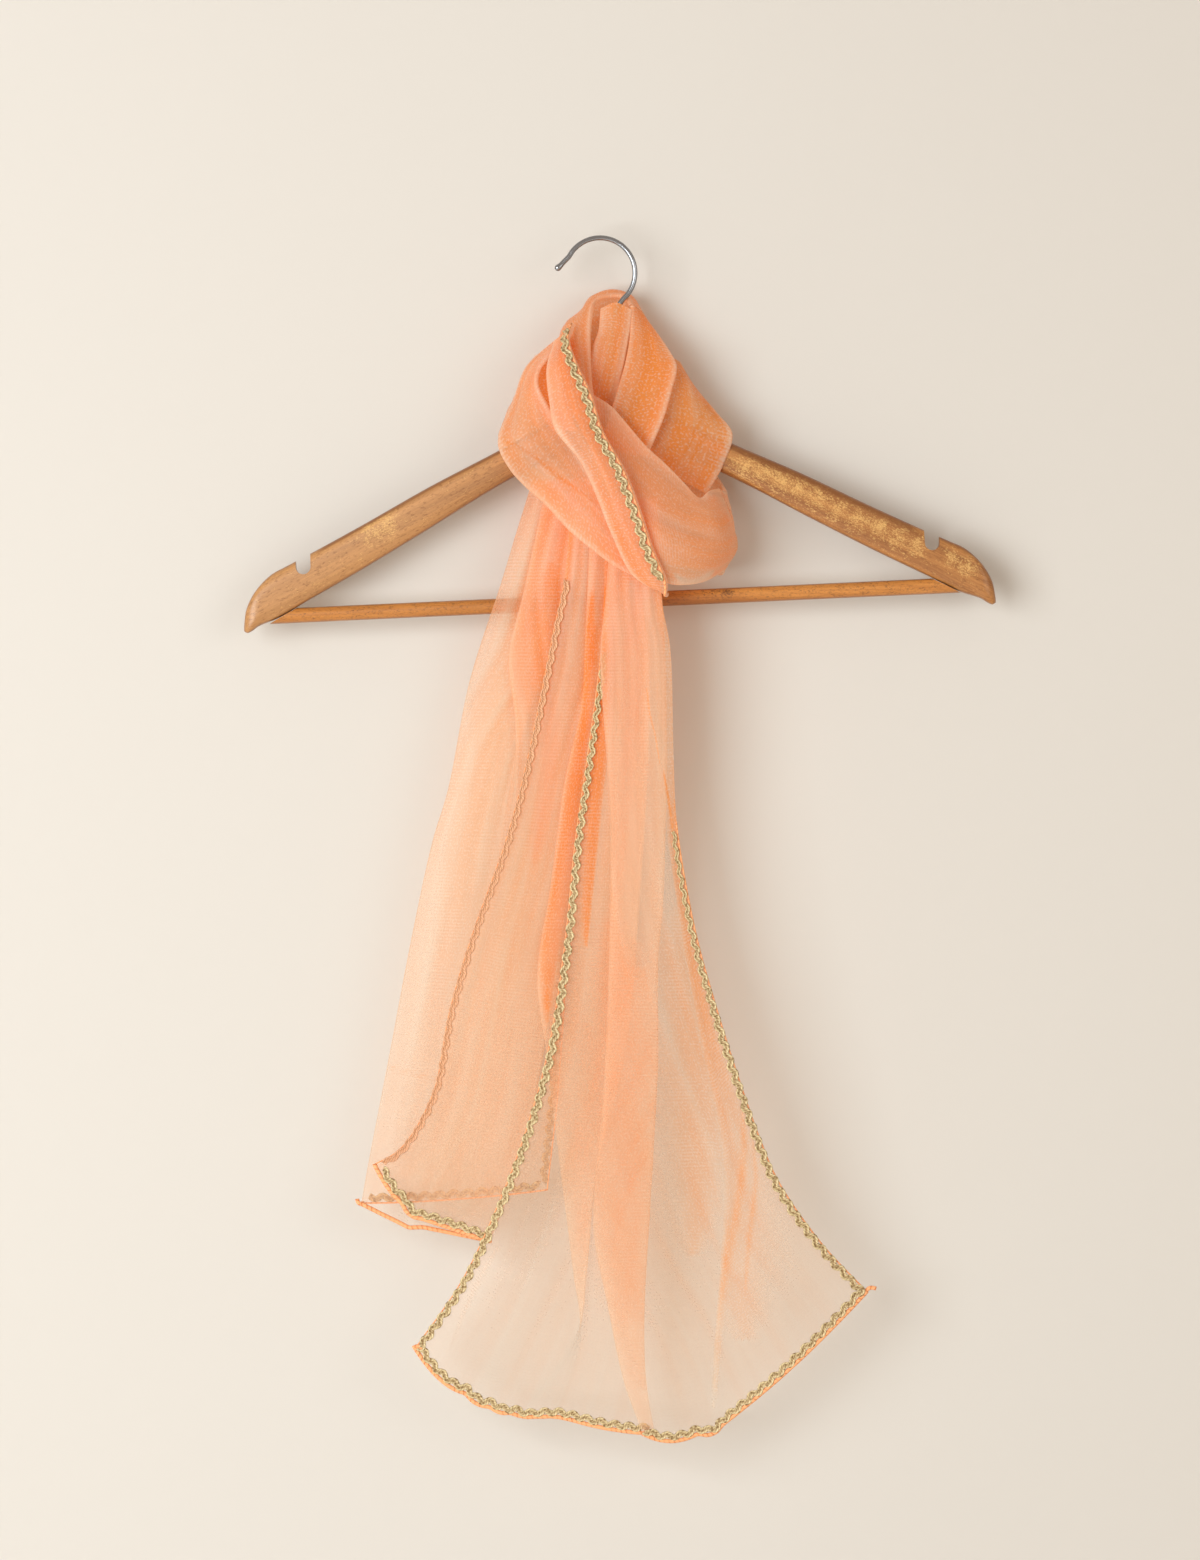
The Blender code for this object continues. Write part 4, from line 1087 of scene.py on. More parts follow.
@dataclass(frozen=True)
class GoldThread:
    """Gimp braid worked in pale metallic thread over an olive-gold core, with painted shade in the small
    holes between.
    """

    cord: str = "#DFCD9E"
    core: str = "#BDA376"
    # painted shade in the holes between the cords
    hole_shade: str = "#8D7146"
    strand: float = 1.3  # the twisted strands, drawn as they show
    strand_lean: float = 0.7
    hole_scale: float = 430.0  # holes in a metre, 2.3 mm apart
    hole_edge: Ramp = (0.36, 0.14, 0.0, 1.0)
    cord_edge: tuple[float, float] = (0.3, 0.8)  # how far from the middle the cords start
    strand_shade: Ramp = (0.0, 1.0, 0.72, 1.08)
    bump: tuple[float, float] = (0.6, 0.3)
    roughness: float = 0.45
    metallic: float = 0.15

    def material(self, name: str = "gold_thread") -> Material:
        """Builds the material under a given name."""
        make = Shading(name)
        place = make.flat_place()
        aside = make.math("ABSOLUTE", make.add("SeparateXYZ", Vector=place).outputs[0])
        cord = make.ramp(aside, self.cord_edge[0] * MM, self.cord_edge[1] * MM, kind="SMOOTHSTEP")
        leaning = make.moved(place, Rotation=(0.0, 0.0, self.strand_lean))
        strands = make.bands(leaning, "Y", self.strand, 1.0)
        holes = make.add("TexVoronoi", {"voronoi_dimensions": "2D"}, Vector=place, Scale=self.hole_scale)
        # painted shade in the holes
        dark = make.ramp(holes.outputs["Distance"], *self.hole_edge)
        colour = make.mix(cord, self.core, self.cord)
        colour = make.mix(1.0, colour, make.ramp(strands, *self.strand_shade), "MULTIPLY")
        colour = make.mix(dark, colour, self.hole_shade)
        return make.finish(Base_Color=colour, Normal=make.bump(strands, *self.bump),
                           Roughness=self.roughness, Metallic=self.metallic)


@dataclass(frozen=True)
class CordedEdge:
    """A rolled organza edge over a cord, overlocked with a darker thread every few millimetres."""

    cloth: str = "#FBB47C"
    stitch: str = "#D9834F"
    pitch: float = 2.6
    stitch_lean: float = 0.5
    stitch_edge: Ramp = (0.70, 0.95, 0.0, 1.0)
    wear_scale: float = 60.0  # patches in a metre where the stitches show
    wear: Ramp = (0.36, 0.60, 0.0, 1.0)
    bump: tuple[float, float] = (0.4, 0.3)
    roughness: float = 0.6

    def material(self) -> Material:
        """Builds the material."""
        make = Shading("corded_edge")
        place = make.flat_place()
        bands = make.bands(make.moved(place, Rotation=(0.0, 0.0, self.stitch_lean)), "Y", self.pitch, 0.8)
        worn = make.ramp(make.noise(place, self.wear_scale, 2.0, flat=True), *self.wear)
        thread = make.math("MULTIPLY", make.ramp(bands, *self.stitch_edge), worn)
        return make.finish(Base_Color=make.mix(thread, self.cloth, self.stitch),
                           Normal=make.bump(bands, *self.bump), Roughness=self.roughness)


@dataclass(frozen=True)
class VarnishedWood:
    """Plain hardwood under an old amber varnish, rubbed through in places to paler golden wood with a painted
    golden highlight there, and with painted shade on the edges that turn away.
    """

    light: str = "#C0864A"
    dark: str = "#885325"
    faded: str = "#D3A671"
    pore: str = "#74451D"
    # rubbed golden wood, with a painted golden highlight
    rub_and_sheen: str = "#E9BE74"
    # painted shade on faces that turn away from the front and along the top rounding
    edge: str = "#7C4A22"
    stain: str = "#4E3220"
    grain: float = 1.5
    grain_length: float = 42.0
    figure: float = 0.16  # the broad figure's scale, as a share of the grain's
    pore_scale: tuple[float, float, float] = (400.0, 1100.0, 1100.0)
    tone: Ramp = (0.72, 1.28, 0.0, 1.0)
    fade: Ramp = (0.02, -0.12, 0.0, 0.38)  # across the hanger, over x in metres
    pores: Ramp = (0.54, 0.74, 0.0, 0.58)
    rub_and_sheen_flecks: Ramp = (0.60, 0.84, 0.0, 0.72)
    stain_flecks: Ramp = (0.55, 0.75, 0.0, 0.8)
    fleck_scale: float = 1500.0
    clump_scale: float = 420.0
    clump_share: float = 0.40
    mark_share: float = 0.26  # how much likelier flecks are at a mark's middle
    mark_y: float = -6.0  # the front of the wood
    turned_shade: Ramp = (0.70, 0.15, 0.0, 0.7)  # painted shade on faces that turn away from the front
    rim_shade: float = 0.72
    bump: tuple[float, float] = (0.2, 0.3)
    roughness: float = 0.38
    coat: float = 0.2
    coat_roughness: float = 0.3

    def material(self, name: str, middle: float, slope: float, rubs_and_sheen: Sequence[Mark] = (),
                 stains: Sequence[Mark] = ()) -> Material:
        """Builds the material.

        Args:
            name: the material's name.
            middle: the x of the piece's middle, in millimetres.
            slope: how far the grain falls away from the middle on both sides, in radians.
            rubs_and_sheen: the rubbed patches, with their painted highlight.
            stains: the dark stains.

        Returns:
            The material.
        """
        make = Shading(name)
        texture = make.add("TexCoord")
        place = texture.outputs["Object"]
        parts = make.add("SeparateXYZ", Vector=place).outputs
        x = make.math("SUBTRACT", parts[0], middle * MM)
        x = make.math("ABSOLUTE", x) if slope else x
        folded = make.add("CombineXYZ", X=x, Y=parts[1], Z=parts[2]).outputs[0]
        turned = make.moved(folded, Rotation=(0.0, -slope, 0.0))
        scale = (per_metre(self.grain_length), per_metre(self.grain), per_metre(self.grain))
        grain = make.noise(make.moved(turned, Scale=scale), 1.0, 4.0, Roughness=0.65, Distortion=0.3)
        broad = make.moved(turned, Scale=tuple(self.figure * s for s in scale))
        tone = make.ramp(make.math("ADD", grain, make.noise(broad, 1.0, 2.0)), *self.tone)
        colour = make.mix(tone, self.dark, self.light)
        colour = make.mix(make.ramp(parts[0], *self.fade), colour, self.faded)
        pores = make.noise(make.moved(turned, Scale=self.pore_scale), 1.0, 2.0)
        colour = make.mix(make.ramp(pores, *self.pores), colour, self.pore)
        worn = ((rubs_and_sheen, self.rub_and_sheen, self.rub_and_sheen_flecks), (stains, self.stain, self.stain_flecks))
        for marks, paint, flecks in worn:
            if marks:
                colour = make.mix(self.patches(make, place, turned, marks, flecks), colour, paint)
        # Painted shade on faces that turn away from the front and along the top rounding.
        front = make.add("SeparateXYZ", Vector=texture.outputs["Normal"]).outputs[1]
        worn = make.ramp(make.math("ABSOLUTE", front), *self.turned_shade)
        worn = make.math("MAXIMUM", worn, make.math("MULTIPLY", make.attribute("painted_rim_shade"), self.rim_shade))
        return make.finish(Base_Color=make.mix(worn, colour, self.edge), Normal=make.bump(grain, *self.bump),
                           Roughness=self.roughness, Coat_Weight=self.coat,
                           Coat_Roughness=self.coat_roughness)

    def patches(self, make: Shading, place: Socket, turned: Socket, marks: Sequence[Mark],
                reach: Ramp) -> Socket:
        """Draws the flecks of worn varnish with painted highlight, or of stain, close together at each mark's
        middle.

        Args:
            make: the material.
            place: the object coordinates.
            turned: the same, turned to the grain.
            marks: the marks.
            reach: where flecks start and are full, and how strong they get there.

        Returns:
            The strength of the mark.
        """
        drawn = make.moved(turned, Scale=(0.55, 1.0, 1.0))
        flecks = make.noise(drawn, self.fleck_scale, 4.0, Roughness=0.6)
        clumps = make.noise(drawn, self.clump_scale, 2.0)
        flecks = make.math("MULTIPLY_ADD", clumps, self.clump_share, flecks)
        flecks = make.math("SUBTRACT", flecks, self.clump_share / 2)
        total = None
        for mark in marks:
            centre = (mark.x * MM, self.mark_y * MM, mark.z * MM)
            far = make.add("VectorMath", {"operation": "DISTANCE"}, i0=place, i1=centre).outputs["Value"]
            near = make.ramp(far, mark.radius * MM, 0.0, full=self.mark_share)
            total = near if total is None else make.math("MAXIMUM", total, near)
        return make.ramp(make.math("ADD", flecks, total), *reach)


@dataclass(frozen=True)
class BrightSteel:
    """Drawn steel wire with a bright nickel plate, faintly scuffed along its length."""

    colour: str = "#A2A8AF"
    painted_side_reflection: str = "#56544F"  # painted reflection: where the wire turns away it mirrors the darker room
    side: Ramp = (0.25, 0.80, 0.0, 1.0)
    roughness: Ramp = (0.0, 1.0, 0.12, 0.28)
    scuff: float = 4.0

    def material(self) -> Material:
        """Builds the material."""
        make = Shading("bright_steel")
        scuffs = make.noise(make.add("TexCoord").outputs["Object"], per_metre(self.scuff), 3.0)
        facing = make.add("LayerWeight", Blend=0.5).outputs["Facing"]
        colour = make.mix(make.ramp(facing, *self.side), self.colour, self.painted_side_reflection)
        return make.finish(Base_Color=colour, Metallic=1.0, Roughness=make.ramp(scuffs, *self.roughness))


# ---------------------------------------------------------------- the hanger
@dataclass
class Hanger:
    """A shaped wooden hanger with strap notches, a round trouser bar and a bent wire hook.

    Lengths are in millimetres.  The arms and the bar are drawn level about the hanger's middle,
    the right arm first, and then tilted into the place where the hanger hangs.
    """

    span: float = 445.0
    thick: float = 12.0
    middle: tuple[float, float] = (10.6, -221.5)
    tilt: float = math.radians(2.2)
    grain_slope: float = math.radians(28.0)
    line_points: int = 400  # points on the outlines, which are curves
    rings: tuple[int, int] = (110, 14)  # along each arm and round its nose
    upper_points: Points = ((0, 134.0), (7, 132.5), (16, 126.5), (30, 119.0), (68, 99.8), (110, 79.8),
                            (150, 59.0), (182, 43.0), (197, 35.8), (205, 31.8), (214.5, 22.8),
                            (220.6, 12.0), (222.5, 1.6))
    lower_points: Points = ((0, 101.0), (18, 99.4), (38, 93.6), (58.7, 84.2), (79.9, 73.0), (113, 54.0),
                            (152.6, 32.0), (185.0, 15.0), (201.6, 6.1), (213.6, 1.6), (217.5, -1.0),
                            (220.6, -2.3), (222.5, -1.2))
    bar_joint: tuple[int, int] = (8, 7)  # the lower points that the bar's ends lie between
    roundness: float = 0.62  # of the section: 1 is an ellipse, 0 a box
    nose_round: float = 9.0
    nose_close: float = 8.0  # how far in the rings lie closer together
    around: int = 72
    notch_at: float = 186.0
    notch_radius: float = 4.4
    notch_mouth: float = 9.0
    notch_floor: float = 31.0
    notch_top: float = 48.0
    rim_shade_widths: tuple[float, float] = (2.6, 5.5)  # of the painted shade along the top rounding, left and right
    rim_softness: float = 0.35  # the share of it over which it fades
    rim_end: float = 179.0  # how far out it goes
    rim_fade: float = 6.0
    bar_height: float = 9.0
    bar_levels: tuple[float, float] = (7.0, 9.9)
    bar_clearance: float = 0.45
    bar_sides: int = 40
    wire_radius: float = 1.5
    hook_radius: float = 20.7
    hook_centre: tuple[float, float] = (-1.2, -19.1)
    hook_turn: tuple[float, float] = (152.0, -48.0)
    bead: float = 0.3  # how much thicker the wire's rounded tip is
    tip_close: float = 0.55  # the share of its radius at the very end
    hook_tip: Points = ((-27.6, -17.2), (-25.2, -15.4), (-22.6, -12.6))
    shank: Points = ((9.2, -39.6), (6.6, -45.5), (5.6, -53.0), (5.6, -70.0), (5.6, -102.0))
    # Rubbed varnish, with a painted golden highlight along the right arm.
    rubs_and_sheen: tuple[Mark, ...] = (
        Mark(-128, -168, 13), Mark(-137, -172, 12), Mark(84, -134, 13), Mark(95, -138, 14),
        Mark(106, -143, 14), Mark(117, -148, 14), Mark(128, -153, 14), Mark(140, -159, 13),
        Mark(152, -165, 13), Mark(164, -170, 13), Mark(176, -176, 13), Mark(186, -180, 12),
        Mark(206, -188, 9), Mark(216, -194, 10))
    stains: tuple[Mark, ...] = (Mark(66, -206, 6), Mark(74, -208, 6), Mark(60, -205, 5))

    def world(self, x: float, z: float | np.ndarray) -> tuple[float, float]:
        """Turns the hanger's own level (x, z) into the tilted place where it hangs."""
        cosine, sine = math.cos(self.tilt), math.sin(self.tilt)
        return self.middle[0] + x * cosine - z * sine, self.middle[1] + x * sine + z * cosine

    def ring(self, x: float, top: float, bottom: float) -> np.ndarray:
        """Lays the rounded cross-section of the arms at a place along them."""
        past = max(0.0, abs(x) - self.span / 2 + self.nose_round) / self.nose_round
        thick = max(0.5, self.thick / 2 * math.sqrt(max(0.0, 1.0 - past**2)))
        turns = np.linspace(0.0, FULL_TURN, self.around, endpoint=False)
        waves = np.stack((np.cos(turns), np.sin(turns)))
        across, up = np.copysign(np.abs(waves)**self.roundness, waves)
        x_world, z_world = self.world(x, up * (top - bottom) / 2 + (top + bottom) / 2)
        return np.stack((x_world, across * thick, z_world), axis=1)

    def build_body(self, wood: Material) -> None:
        """Shapes both arms as one rounded bow, then cuts a strap notch in each."""
        upper = smooth_line(self.upper_points, self.line_points)
        lower = smooth_line(self.lower_points, self.line_points)
        straight = self.span / 2 - self.nose_close
        nose = straight + self.nose_close * np.sin(np.linspace(0.0, math.pi / 2, self.rings[1]))
        out = np.concatenate((np.linspace(0.0, straight, self.rings[0], endpoint=False), nose))
        out = np.concatenate((-out[:0:-1], out))
        tops, bottoms = (np.interp(np.abs(out), line[:, 0], line[:, 1]) for line in (upper, lower))
        body = tube_object("hanger_arms", np.array([self.ring(*place) for place in zip(out, tops, bottoms)]))
        for side in (-1, 1):
            self.cut_notch(body, side)
        self.mark_rim_shade(body, upper)
        self.dress(body, "hanger_body", 38.0, wood, "varnished_wood")

    @staticmethod
    def dress(piece: Piece, node: str, sharp: float, material: Material, slot: str) -> None:
        """Finishes a selected piece that stands for a node.

        Args:
            piece: the piece.
            node: the node.
            sharp: the angle in degrees from which an edge looks sharp.
            material: the piece's material.
            slot: not used.
        """
        bpy.ops.object.shade_smooth_by_angle(angle=math.radians(sharp))
        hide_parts(node)
        finish_piece(piece, material)

    def mark_rim_shade(self, body: Piece, upper: np.ndarray) -> None:
        """Stores how much painted shade each point gets along the top rounding of the arms."""
        places = np.array([vertex.co for vertex in body.data.vertices]) / MM
        x, z = places[:, 0] - self.middle[0], places[:, 2] - self.middle[1]
        cosine, sine = math.cos(self.tilt), math.sin(self.tilt)
        out, up = np.abs(x * cosine + z * sine), z * cosine - x * sine
        width = np.where(x * cosine + z * sine < 0.0, *self.rim_shade_widths)
        below = np.interp(out, upper[:, 0], upper[:, 1]) - up
        near = np.clip((width - below) / (self.rim_softness * width), 0.0, 1.0)
        store(body, "painted_rim_shade", near * np.clip((self.rim_end - out) / self.rim_fade, 0.0, 1.0))

    def cut_notch(self, body: Piece, side: int) -> None:
        """Cuts the strap notch out of one arm."""
        radius, mouth = self.notch_radius, self.notch_mouth / 2
        profile = [(radius * math.cos(turn), self.notch_floor + radius * (1.0 + math.sin(turn)))
                   for turn in np.linspace(math.pi, FULL_TURN, 17)]
        profile += [(mouth, self.notch_top), (-mouth, self.notch_top)]
        places = [self.world(side * (self.notch_at + x), z) for x, z in profile]
        rings = [[(x, y, z) for x, z in places] for y in (-self.thick, self.thick)]
        cutter = tube_object("notch_cutter", np.array(rings))
        select_only(body)
        cut = body.modifiers.new("strap notch", "BOOLEAN")
        cut.operation = "DIFFERENCE"
        cut.solver = "EXACT"
        cut.object = cutter
        bpy.ops.object.modifier_apply(modifier=cut.name)
        bpy.data.objects.remove(cutter, do_unlink=True)

    def build_bar(self, wood: Material) -> None:
        """Turns the round bar and slants its ends to the arms."""
        (x_low, z_low), (x_high, z_high) = (self.lower_points[k] for k in self.bar_joint)
        run = (x_high - x_low) / (z_high - z_low)
        turns = np.linspace(0.0, FULL_TURN, self.bar_sides, endpoint=False)
        rings = []
        for side, level in zip((-1, 1), self.bar_levels):
            z = level + self.bar_height / 2 * np.sin(turns)
            x = x_low + run * (z - z_low) - self.bar_clearance * math.hypot(1.0, run)
            across, up = self.world(side * x, z)
            rings.append(np.stack((across, self.bar_height / 2 * np.cos(turns), up), axis=1))
        bar = tube_object("trouser_bar", np.array(rings))
        self.dress(bar, "hanger_bar", 35.0, wood, "varnished_wood")

    def build_hook(self, steel: Material) -> None:
        """Bends the wire hook, with a rounded tip."""
        turns = np.radians(np.linspace(*self.hook_turn, 25))
        arc = np.array(self.hook_centre) + self.hook_radius * np.stack((np.cos(turns), np.sin(turns)), axis=1)
        line = smooth_line([*self.hook_tip, *arc, *self.shank], 150)
        curve = bpy.data.curves.new("wire", "CURVE")
        curve.dimensions = "3D"
        curve.bevel_depth = self.wire_radius * MM
        curve.bevel_resolution = 6
        curve.use_fill_caps = True
        spline = curve.splines.new("POLY")
        spline.points.add(len(line) - 1)
        for k, (point, (x, z)) in enumerate(zip(spline.points, line)):
            point.co = (x * MM, 0.0, z * MM, 1.0)
            point.radius = 1.0 + self.bead * math.exp(-((k - 2) / 1.6)**2) if k else self.tip_close
        hook = bpy.data.objects.new("wire_hook", curve)
        bpy.context.scene.collection.objects.link(hook)
        select_only(hook)
        bpy.ops.object.convert(target="MESH")
        self.dress(bpy.context.object, "hanger_hook", 40.0, steel, "polished_steel")

    def build(self) -> None:
        """Builds and dresses the whole hanger."""
        middle = self.middle[0]
        bar_wood = VarnishedWood(light="#CE8B42", dark="#9E5F24", edge="#8E5827", faded="#CE8B42")
        self.build_body(VarnishedWood().material("varnished_arms", middle, self.grain_slope, self.rubs_and_sheen))
        self.build_bar(bar_wood.material("varnished_bar", middle, 0.0, stains=self.stains))
        self.build_hook(BrightSteel().material())


# ---------------------------------------------------------------- the stole
# The two entries with negative numbers are painted highlights: paler, thinner patches on the upper panels.
LONG_CREASES = (
    Crease((
        (82, -505), (83, -540), (80, -565), (75, -592), (69, -628), (67, -660),
        (66, -690)), 6.0, 1.5, 0.25, 6),
    Crease(((88, -528), (90, -552), (86, -592), (84, -620)), 3.6, 1.2, 0.25, 6),
    Crease(((74, -560), (72, -600), (68, -640)), 2.2, 0.8, 0.2, 6),
    Crease((
        (2, -205), (0, -245), (-2, -285), (-4, -331), (-6, -372), (-8, -395),
        (-9, -418)), 15.0, 2.2, 0.8, 0),
    Crease((
        (-6, -205), (-8, -245), (-13, -296), (-20, -345), (-28, -385), (-33, -425),
        (-32, -462)), 14.0, 1.8, 0.75, 2),
    Crease(((18, -200), (18, -250), (20, -310), (21, -370), (22, -430)), 36.0, -1.1, -0.35, 5),
    Crease(((18, -200), (18, -250), (20, -310), (21, -370), (22, -430)), 36.0, -0.7, -0.2, 4),
    Crease(((20, -410), (20, -480), (16, -550), (18, -610), (25, -680)), 32.0, 0.7, 0.3, 4),
    Crease(((50, -300), (58, -380), (66, -450), (74, -520), (80, -590), (84, -650)), 62.0, 0.7, 0.35, 6),
    Crease(((44, -330), (50, -390), (55, -440), (58, -500), (58, -560), (54, -600)), 30.0, 1.0, 0.45, 6),
    Crease(((46, -390), (52, -450), (56, -500), (57, -545), (53, -600)), 32.0, 0.9, 0.4, 5),
    Crease(((4, -400), (6, -460), (8, -520), (10, -580), (14, -640)), 46.0, 0.8, 0.35, 3),
    Crease(((26, -265), (28, -280), (31, -293), (34, -310)), 1.5, 2.2, 0.9, 5),
    Crease(((33, -301), (37, -320), (40, -338), (42, -352)), 1.5, 2.2, 0.9, 6),
    Crease(((-60, -590), (-78, -625), (-90, -655)), 3.0, 0.35, 0.1, 0),
)
SHORT_CREASES = (
    Crease(((-30, -190), (-32, -237), (-30, -284), (-34, -330), (-40, -370)), 22.0, 1.3, 0.55, 3),
    Crease((
        (-50, -172), (-61, -205), (-79, -260), (-92, -325), (-101, -355), (-113, -410), (-128, -489),
        (-139, -546)), 2.6, 1.2, 0.5, 1),
    Crease(((-7, -190), (-8, -237), (-10, -300), (-16, -345), (-24, -400), (-30, -440)), 8.0, 1.6, 0.6, 4),
    Crease(((-128, -488), (-112, -493), (-95, -496), (-72, -500)), 2.2, 0.8, 0.2, 0),
)
# A fold line on the low wrap, drawn with painted shade alone.
LOW_CREASES = (
    Crease(((-60, -119), (-50, -123), (-39, -130), (-26, -141), (-9, -153), (-3, -159)), 2.4, 0.0, 0.35),
)
# Painted highlights: paler, thinner strips along the lower edge and the right end of the top wrap.
TOP_PAINTED_HIGHLIGHTS = (
    Crease(((42, -199), (50, -203), (58, -202), (66, -196)), 4.5, -1.5, -0.7),
    Crease(((62, -151), (68, -150), (74, -156), (79, -168)), 8.0, -2.8, -0.6),
)
# Two thin darker lines on the outer lapel, drawn with painted shade alone.
LAPEL_CREASES = (
    Crease(((62, -98), (58, -107), (52, -120), (46, -131)), 1.6, 0.0, 0.5),
    Crease(((66, -103), (61, -113), (56, -124), (50, -135)), 1.4, 0.0, 0.35),
)


@dataclass
class Stole:
    """The dupatta stole: its two tails, its wound stretches, its edges and its braids.

    Lengths are in millimetres.
    """

    width: float = 340.0
    piping_inset: float = 0.4
    braid_inset: float = 3.2
    tail_long: HangingTail = field(default_factory=lambda: HangingTail(
        "tail_long", LONG_TAIL, LONG_LAYERS, 340.0, 500.0, 0.7, LONG_CREASES, crowd=1.2, base_painted_shade=0.22))
    tail_short: HangingTail = field(default_factory=lambda: HangingTail(
        "tail_short", SHORT_TAIL, SHORT_LAYERS, 340.0, 410.0, 2.2, SHORT_CREASES, down=170, thin_edge=18.0,
        base_painted_shade=0.20, streak=0.20))
    wound: tuple[WoundStretch, ...] = (
        WoundStretch("collar_back", COLLAR_BACK, 6.0, Facing.BACK, 16.0, 0.5, 0.4, 0.7),
        WoundStretch("neck_cover", NECK_COVER, 8.0, Facing.FRONT, 12.0, 0.4, 1.3, 0.78),
        WoundStretch("lapel_right_inner", LAPEL_INNER, 8.0, Facing.FRONT, 18.0, 0.5, 2.9, 0.92),
        WoundStretch("lapel_right_outer", LAPEL_OUTER, 6.5, Facing.FRONT, 18.0, 0.4, 4.1, 0.86,
                     LAPEL_CREASES),
        WoundStretch("wrap_low", WRAP_LOW, 5.0, Facing.FRONT, 24.0, 0.8, 0.2, 0.58, LOW_CREASES, down=110),
        WoundStretch("wrap_mid", WRAP_MID, 5.5, Facing.FRONT, 24.0, 0.5, 5.2, 0.62, down=110),
        WoundStretch("wrap_top", WRAP_TOP, 5.0, Facing.FRONT, 26.0, 0.8, 3.3, 0.6, TOP_PAINTED_HIGHLIGHTS, down=110),
        WoundStretch("wrap_back", WRAP_BACK, 8.0, Facing.BACK, 18.0, 1.0, 1.9, 0.5, down=110, over=60),
    )
    # Cloth inside the knot, drawn at full painted shade so that the hollow between the wraps looks dark.
    hidden: tuple[WoundStretch, ...] = (
        WoundStretch("loop_inside", LOOP_INSIDE, 7.0, Facing.FRONT, 10.0, 0.3, 0.9, 1.0, over=20),
        WoundStretch("loop_core", LOOP_CORE, 7.0, Facing.FRONT, 10.0, 0.5, 1.7, 1.0, over=16),
    )
    organza: Material = field(default_factory=lambda: Organza().material())
    corded: Material = field(default_factory=lambda: CordedEdge().material())
    gold: Material = field(default_factory=lambda: GoldThread().material())
    reverse: Material = field(default_factory=lambda: GoldThread(
        cord="#E5B088", core="#DEA67B", hole_shade="#CD956B").material("gold_thread_reverse"))
    shaded: Material = field(default_factory=lambda: GoldThread(
        cord="#DFC292", core="#C0A26C", hole_shade="#A48452").material("gold_thread_shaded"))

    def build(self) -> None:
        """Builds and dresses every piece of the stole."""
        self.build_long_tail()
        self.build_short_tail()
        for stretch in self.wound:
            self.build_wound(stretch)
        for stretch in self.hidden:
            cloth = stretch.surface()
            piece = finish_piece(cloth_object(stretch.name + "_cloth", cloth), self.organza)
            cloth.size()

    def sheet(self, name: str, cloth: Surface) -> Piece:
        """Makes one sheet of the stole and lets it stand for its node."""
        piece = cloth_object(name + "_cloth", cloth)
        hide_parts(name)
        return finish_piece(piece, self.organza)

    def braid(self, node: str, cloth: Surface, side: Side, bare: tuple[float, float], face: float = -1.0,
              gold: Material | None = None, inset: float | None = None, gimp: Gimp = Gimp()) -> Piece:
        """Sews one run of braid along an edge and lets it stand for its node.

        Args:
            node: the node that it stands for.
            cloth: the cloth that it is sewn to.
            side: the edge that it follows.
            bare: how much of the edge stays bare at its two ends.
            face: 1 or -1, the side of the cloth it is sewn on.
            gold: its thread, if not the usual one.
            inset: how far inside the edge it runs, if not as usual.
            gimp: the braid's form.

        Returns:
            The braid.
        """
        path, ups = cloth.edge(side, self.braid_inset if inset is None else inset)
        piece = gimp.build(node + "_gimp", path, ups, face, bare)
        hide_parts(node)
        return finish_piece(piece, gold or self.gold)

    def piping(self, name: str, cloth: Surface, side: Side, radius: float = 0.75,
               start: float = 0.0) -> Piece:
        """Cords one edge of the cloth from a distance along it."""
        path, ups = cloth.edge(side, 0.0 if side is Side.HEM else self.piping_inset)
        first = int(np.searchsorted(lengths_along(path), start))
        return finish_piece(Piping(radius).build(name, path[first:], ups[first:]), self.corded)

    def thread_end(self, name: str, start: np.ndarray, lean: tuple[float, float]) -> Piece:
        """Ties off the sewing thread in a small tuft that leans out from a corner."""
        run = np.array((lean[0], 0.0, lean[1]))
        turn = np.array((-lean[1], 0.0, lean[0]))
        bends = ((-0.4, 0.0), (0.5, 0.25), (1.0, 0.0), (1.3, -0.3))
        path = smooth_line([start + out * run + aside * turn for out, aside in bends], 12)
        ups = np.tile((0.0, -1.0, 0.0), (len(path), 1))
        return finish_piece(Piping(1.2, step=0.8).build(name, path, ups), self.corded)

    def build_long_tail(self) -> None:
        """Builds the long hanging end."""
        tail = self.tail_long
        cloth, folds, turned = tail.surface(), tail.folds, tail.fold_steps
        left = cloth.part(0, folds["second pleat, right"] - turned)
        right = cloth.part(folds["second pleat, left"] + turned, None)
        trims = [
            self.braid("trim_long_left", cloth, Side.LEFT, (90, 2), inset=2.4, gimp=Gimp(narrowing=0.25)),
            self.braid("trim_long_right", cloth, Side.RIGHT, (196, 2), inset=2.6, gimp=Gimp(narrowing=0.45)),
            self.braid("trim_long_hem_left", left, Side.HEM, (2, 1)),
            self.braid("trim_long_hem_right", right, Side.HEM, (1, 2)),
            self.piping("long_edge_left", cloth, Side.LEFT, 0.4, 88.0),
            self.piping("long_edge_right", cloth, Side.RIGHT, 0.5, 190.0),
            self.piping("long_edge_hem", cloth, Side.HEM, 1.25),
            self.thread_end("long_thread_left", cloth.grid[-1, 0], (3.2, 0.4)),
            self.thread_end("long_thread_right", cloth.grid[-1, -1], (3.6, 2.0)),
        ]
        piece = self.sheet(tail.name, cloth)

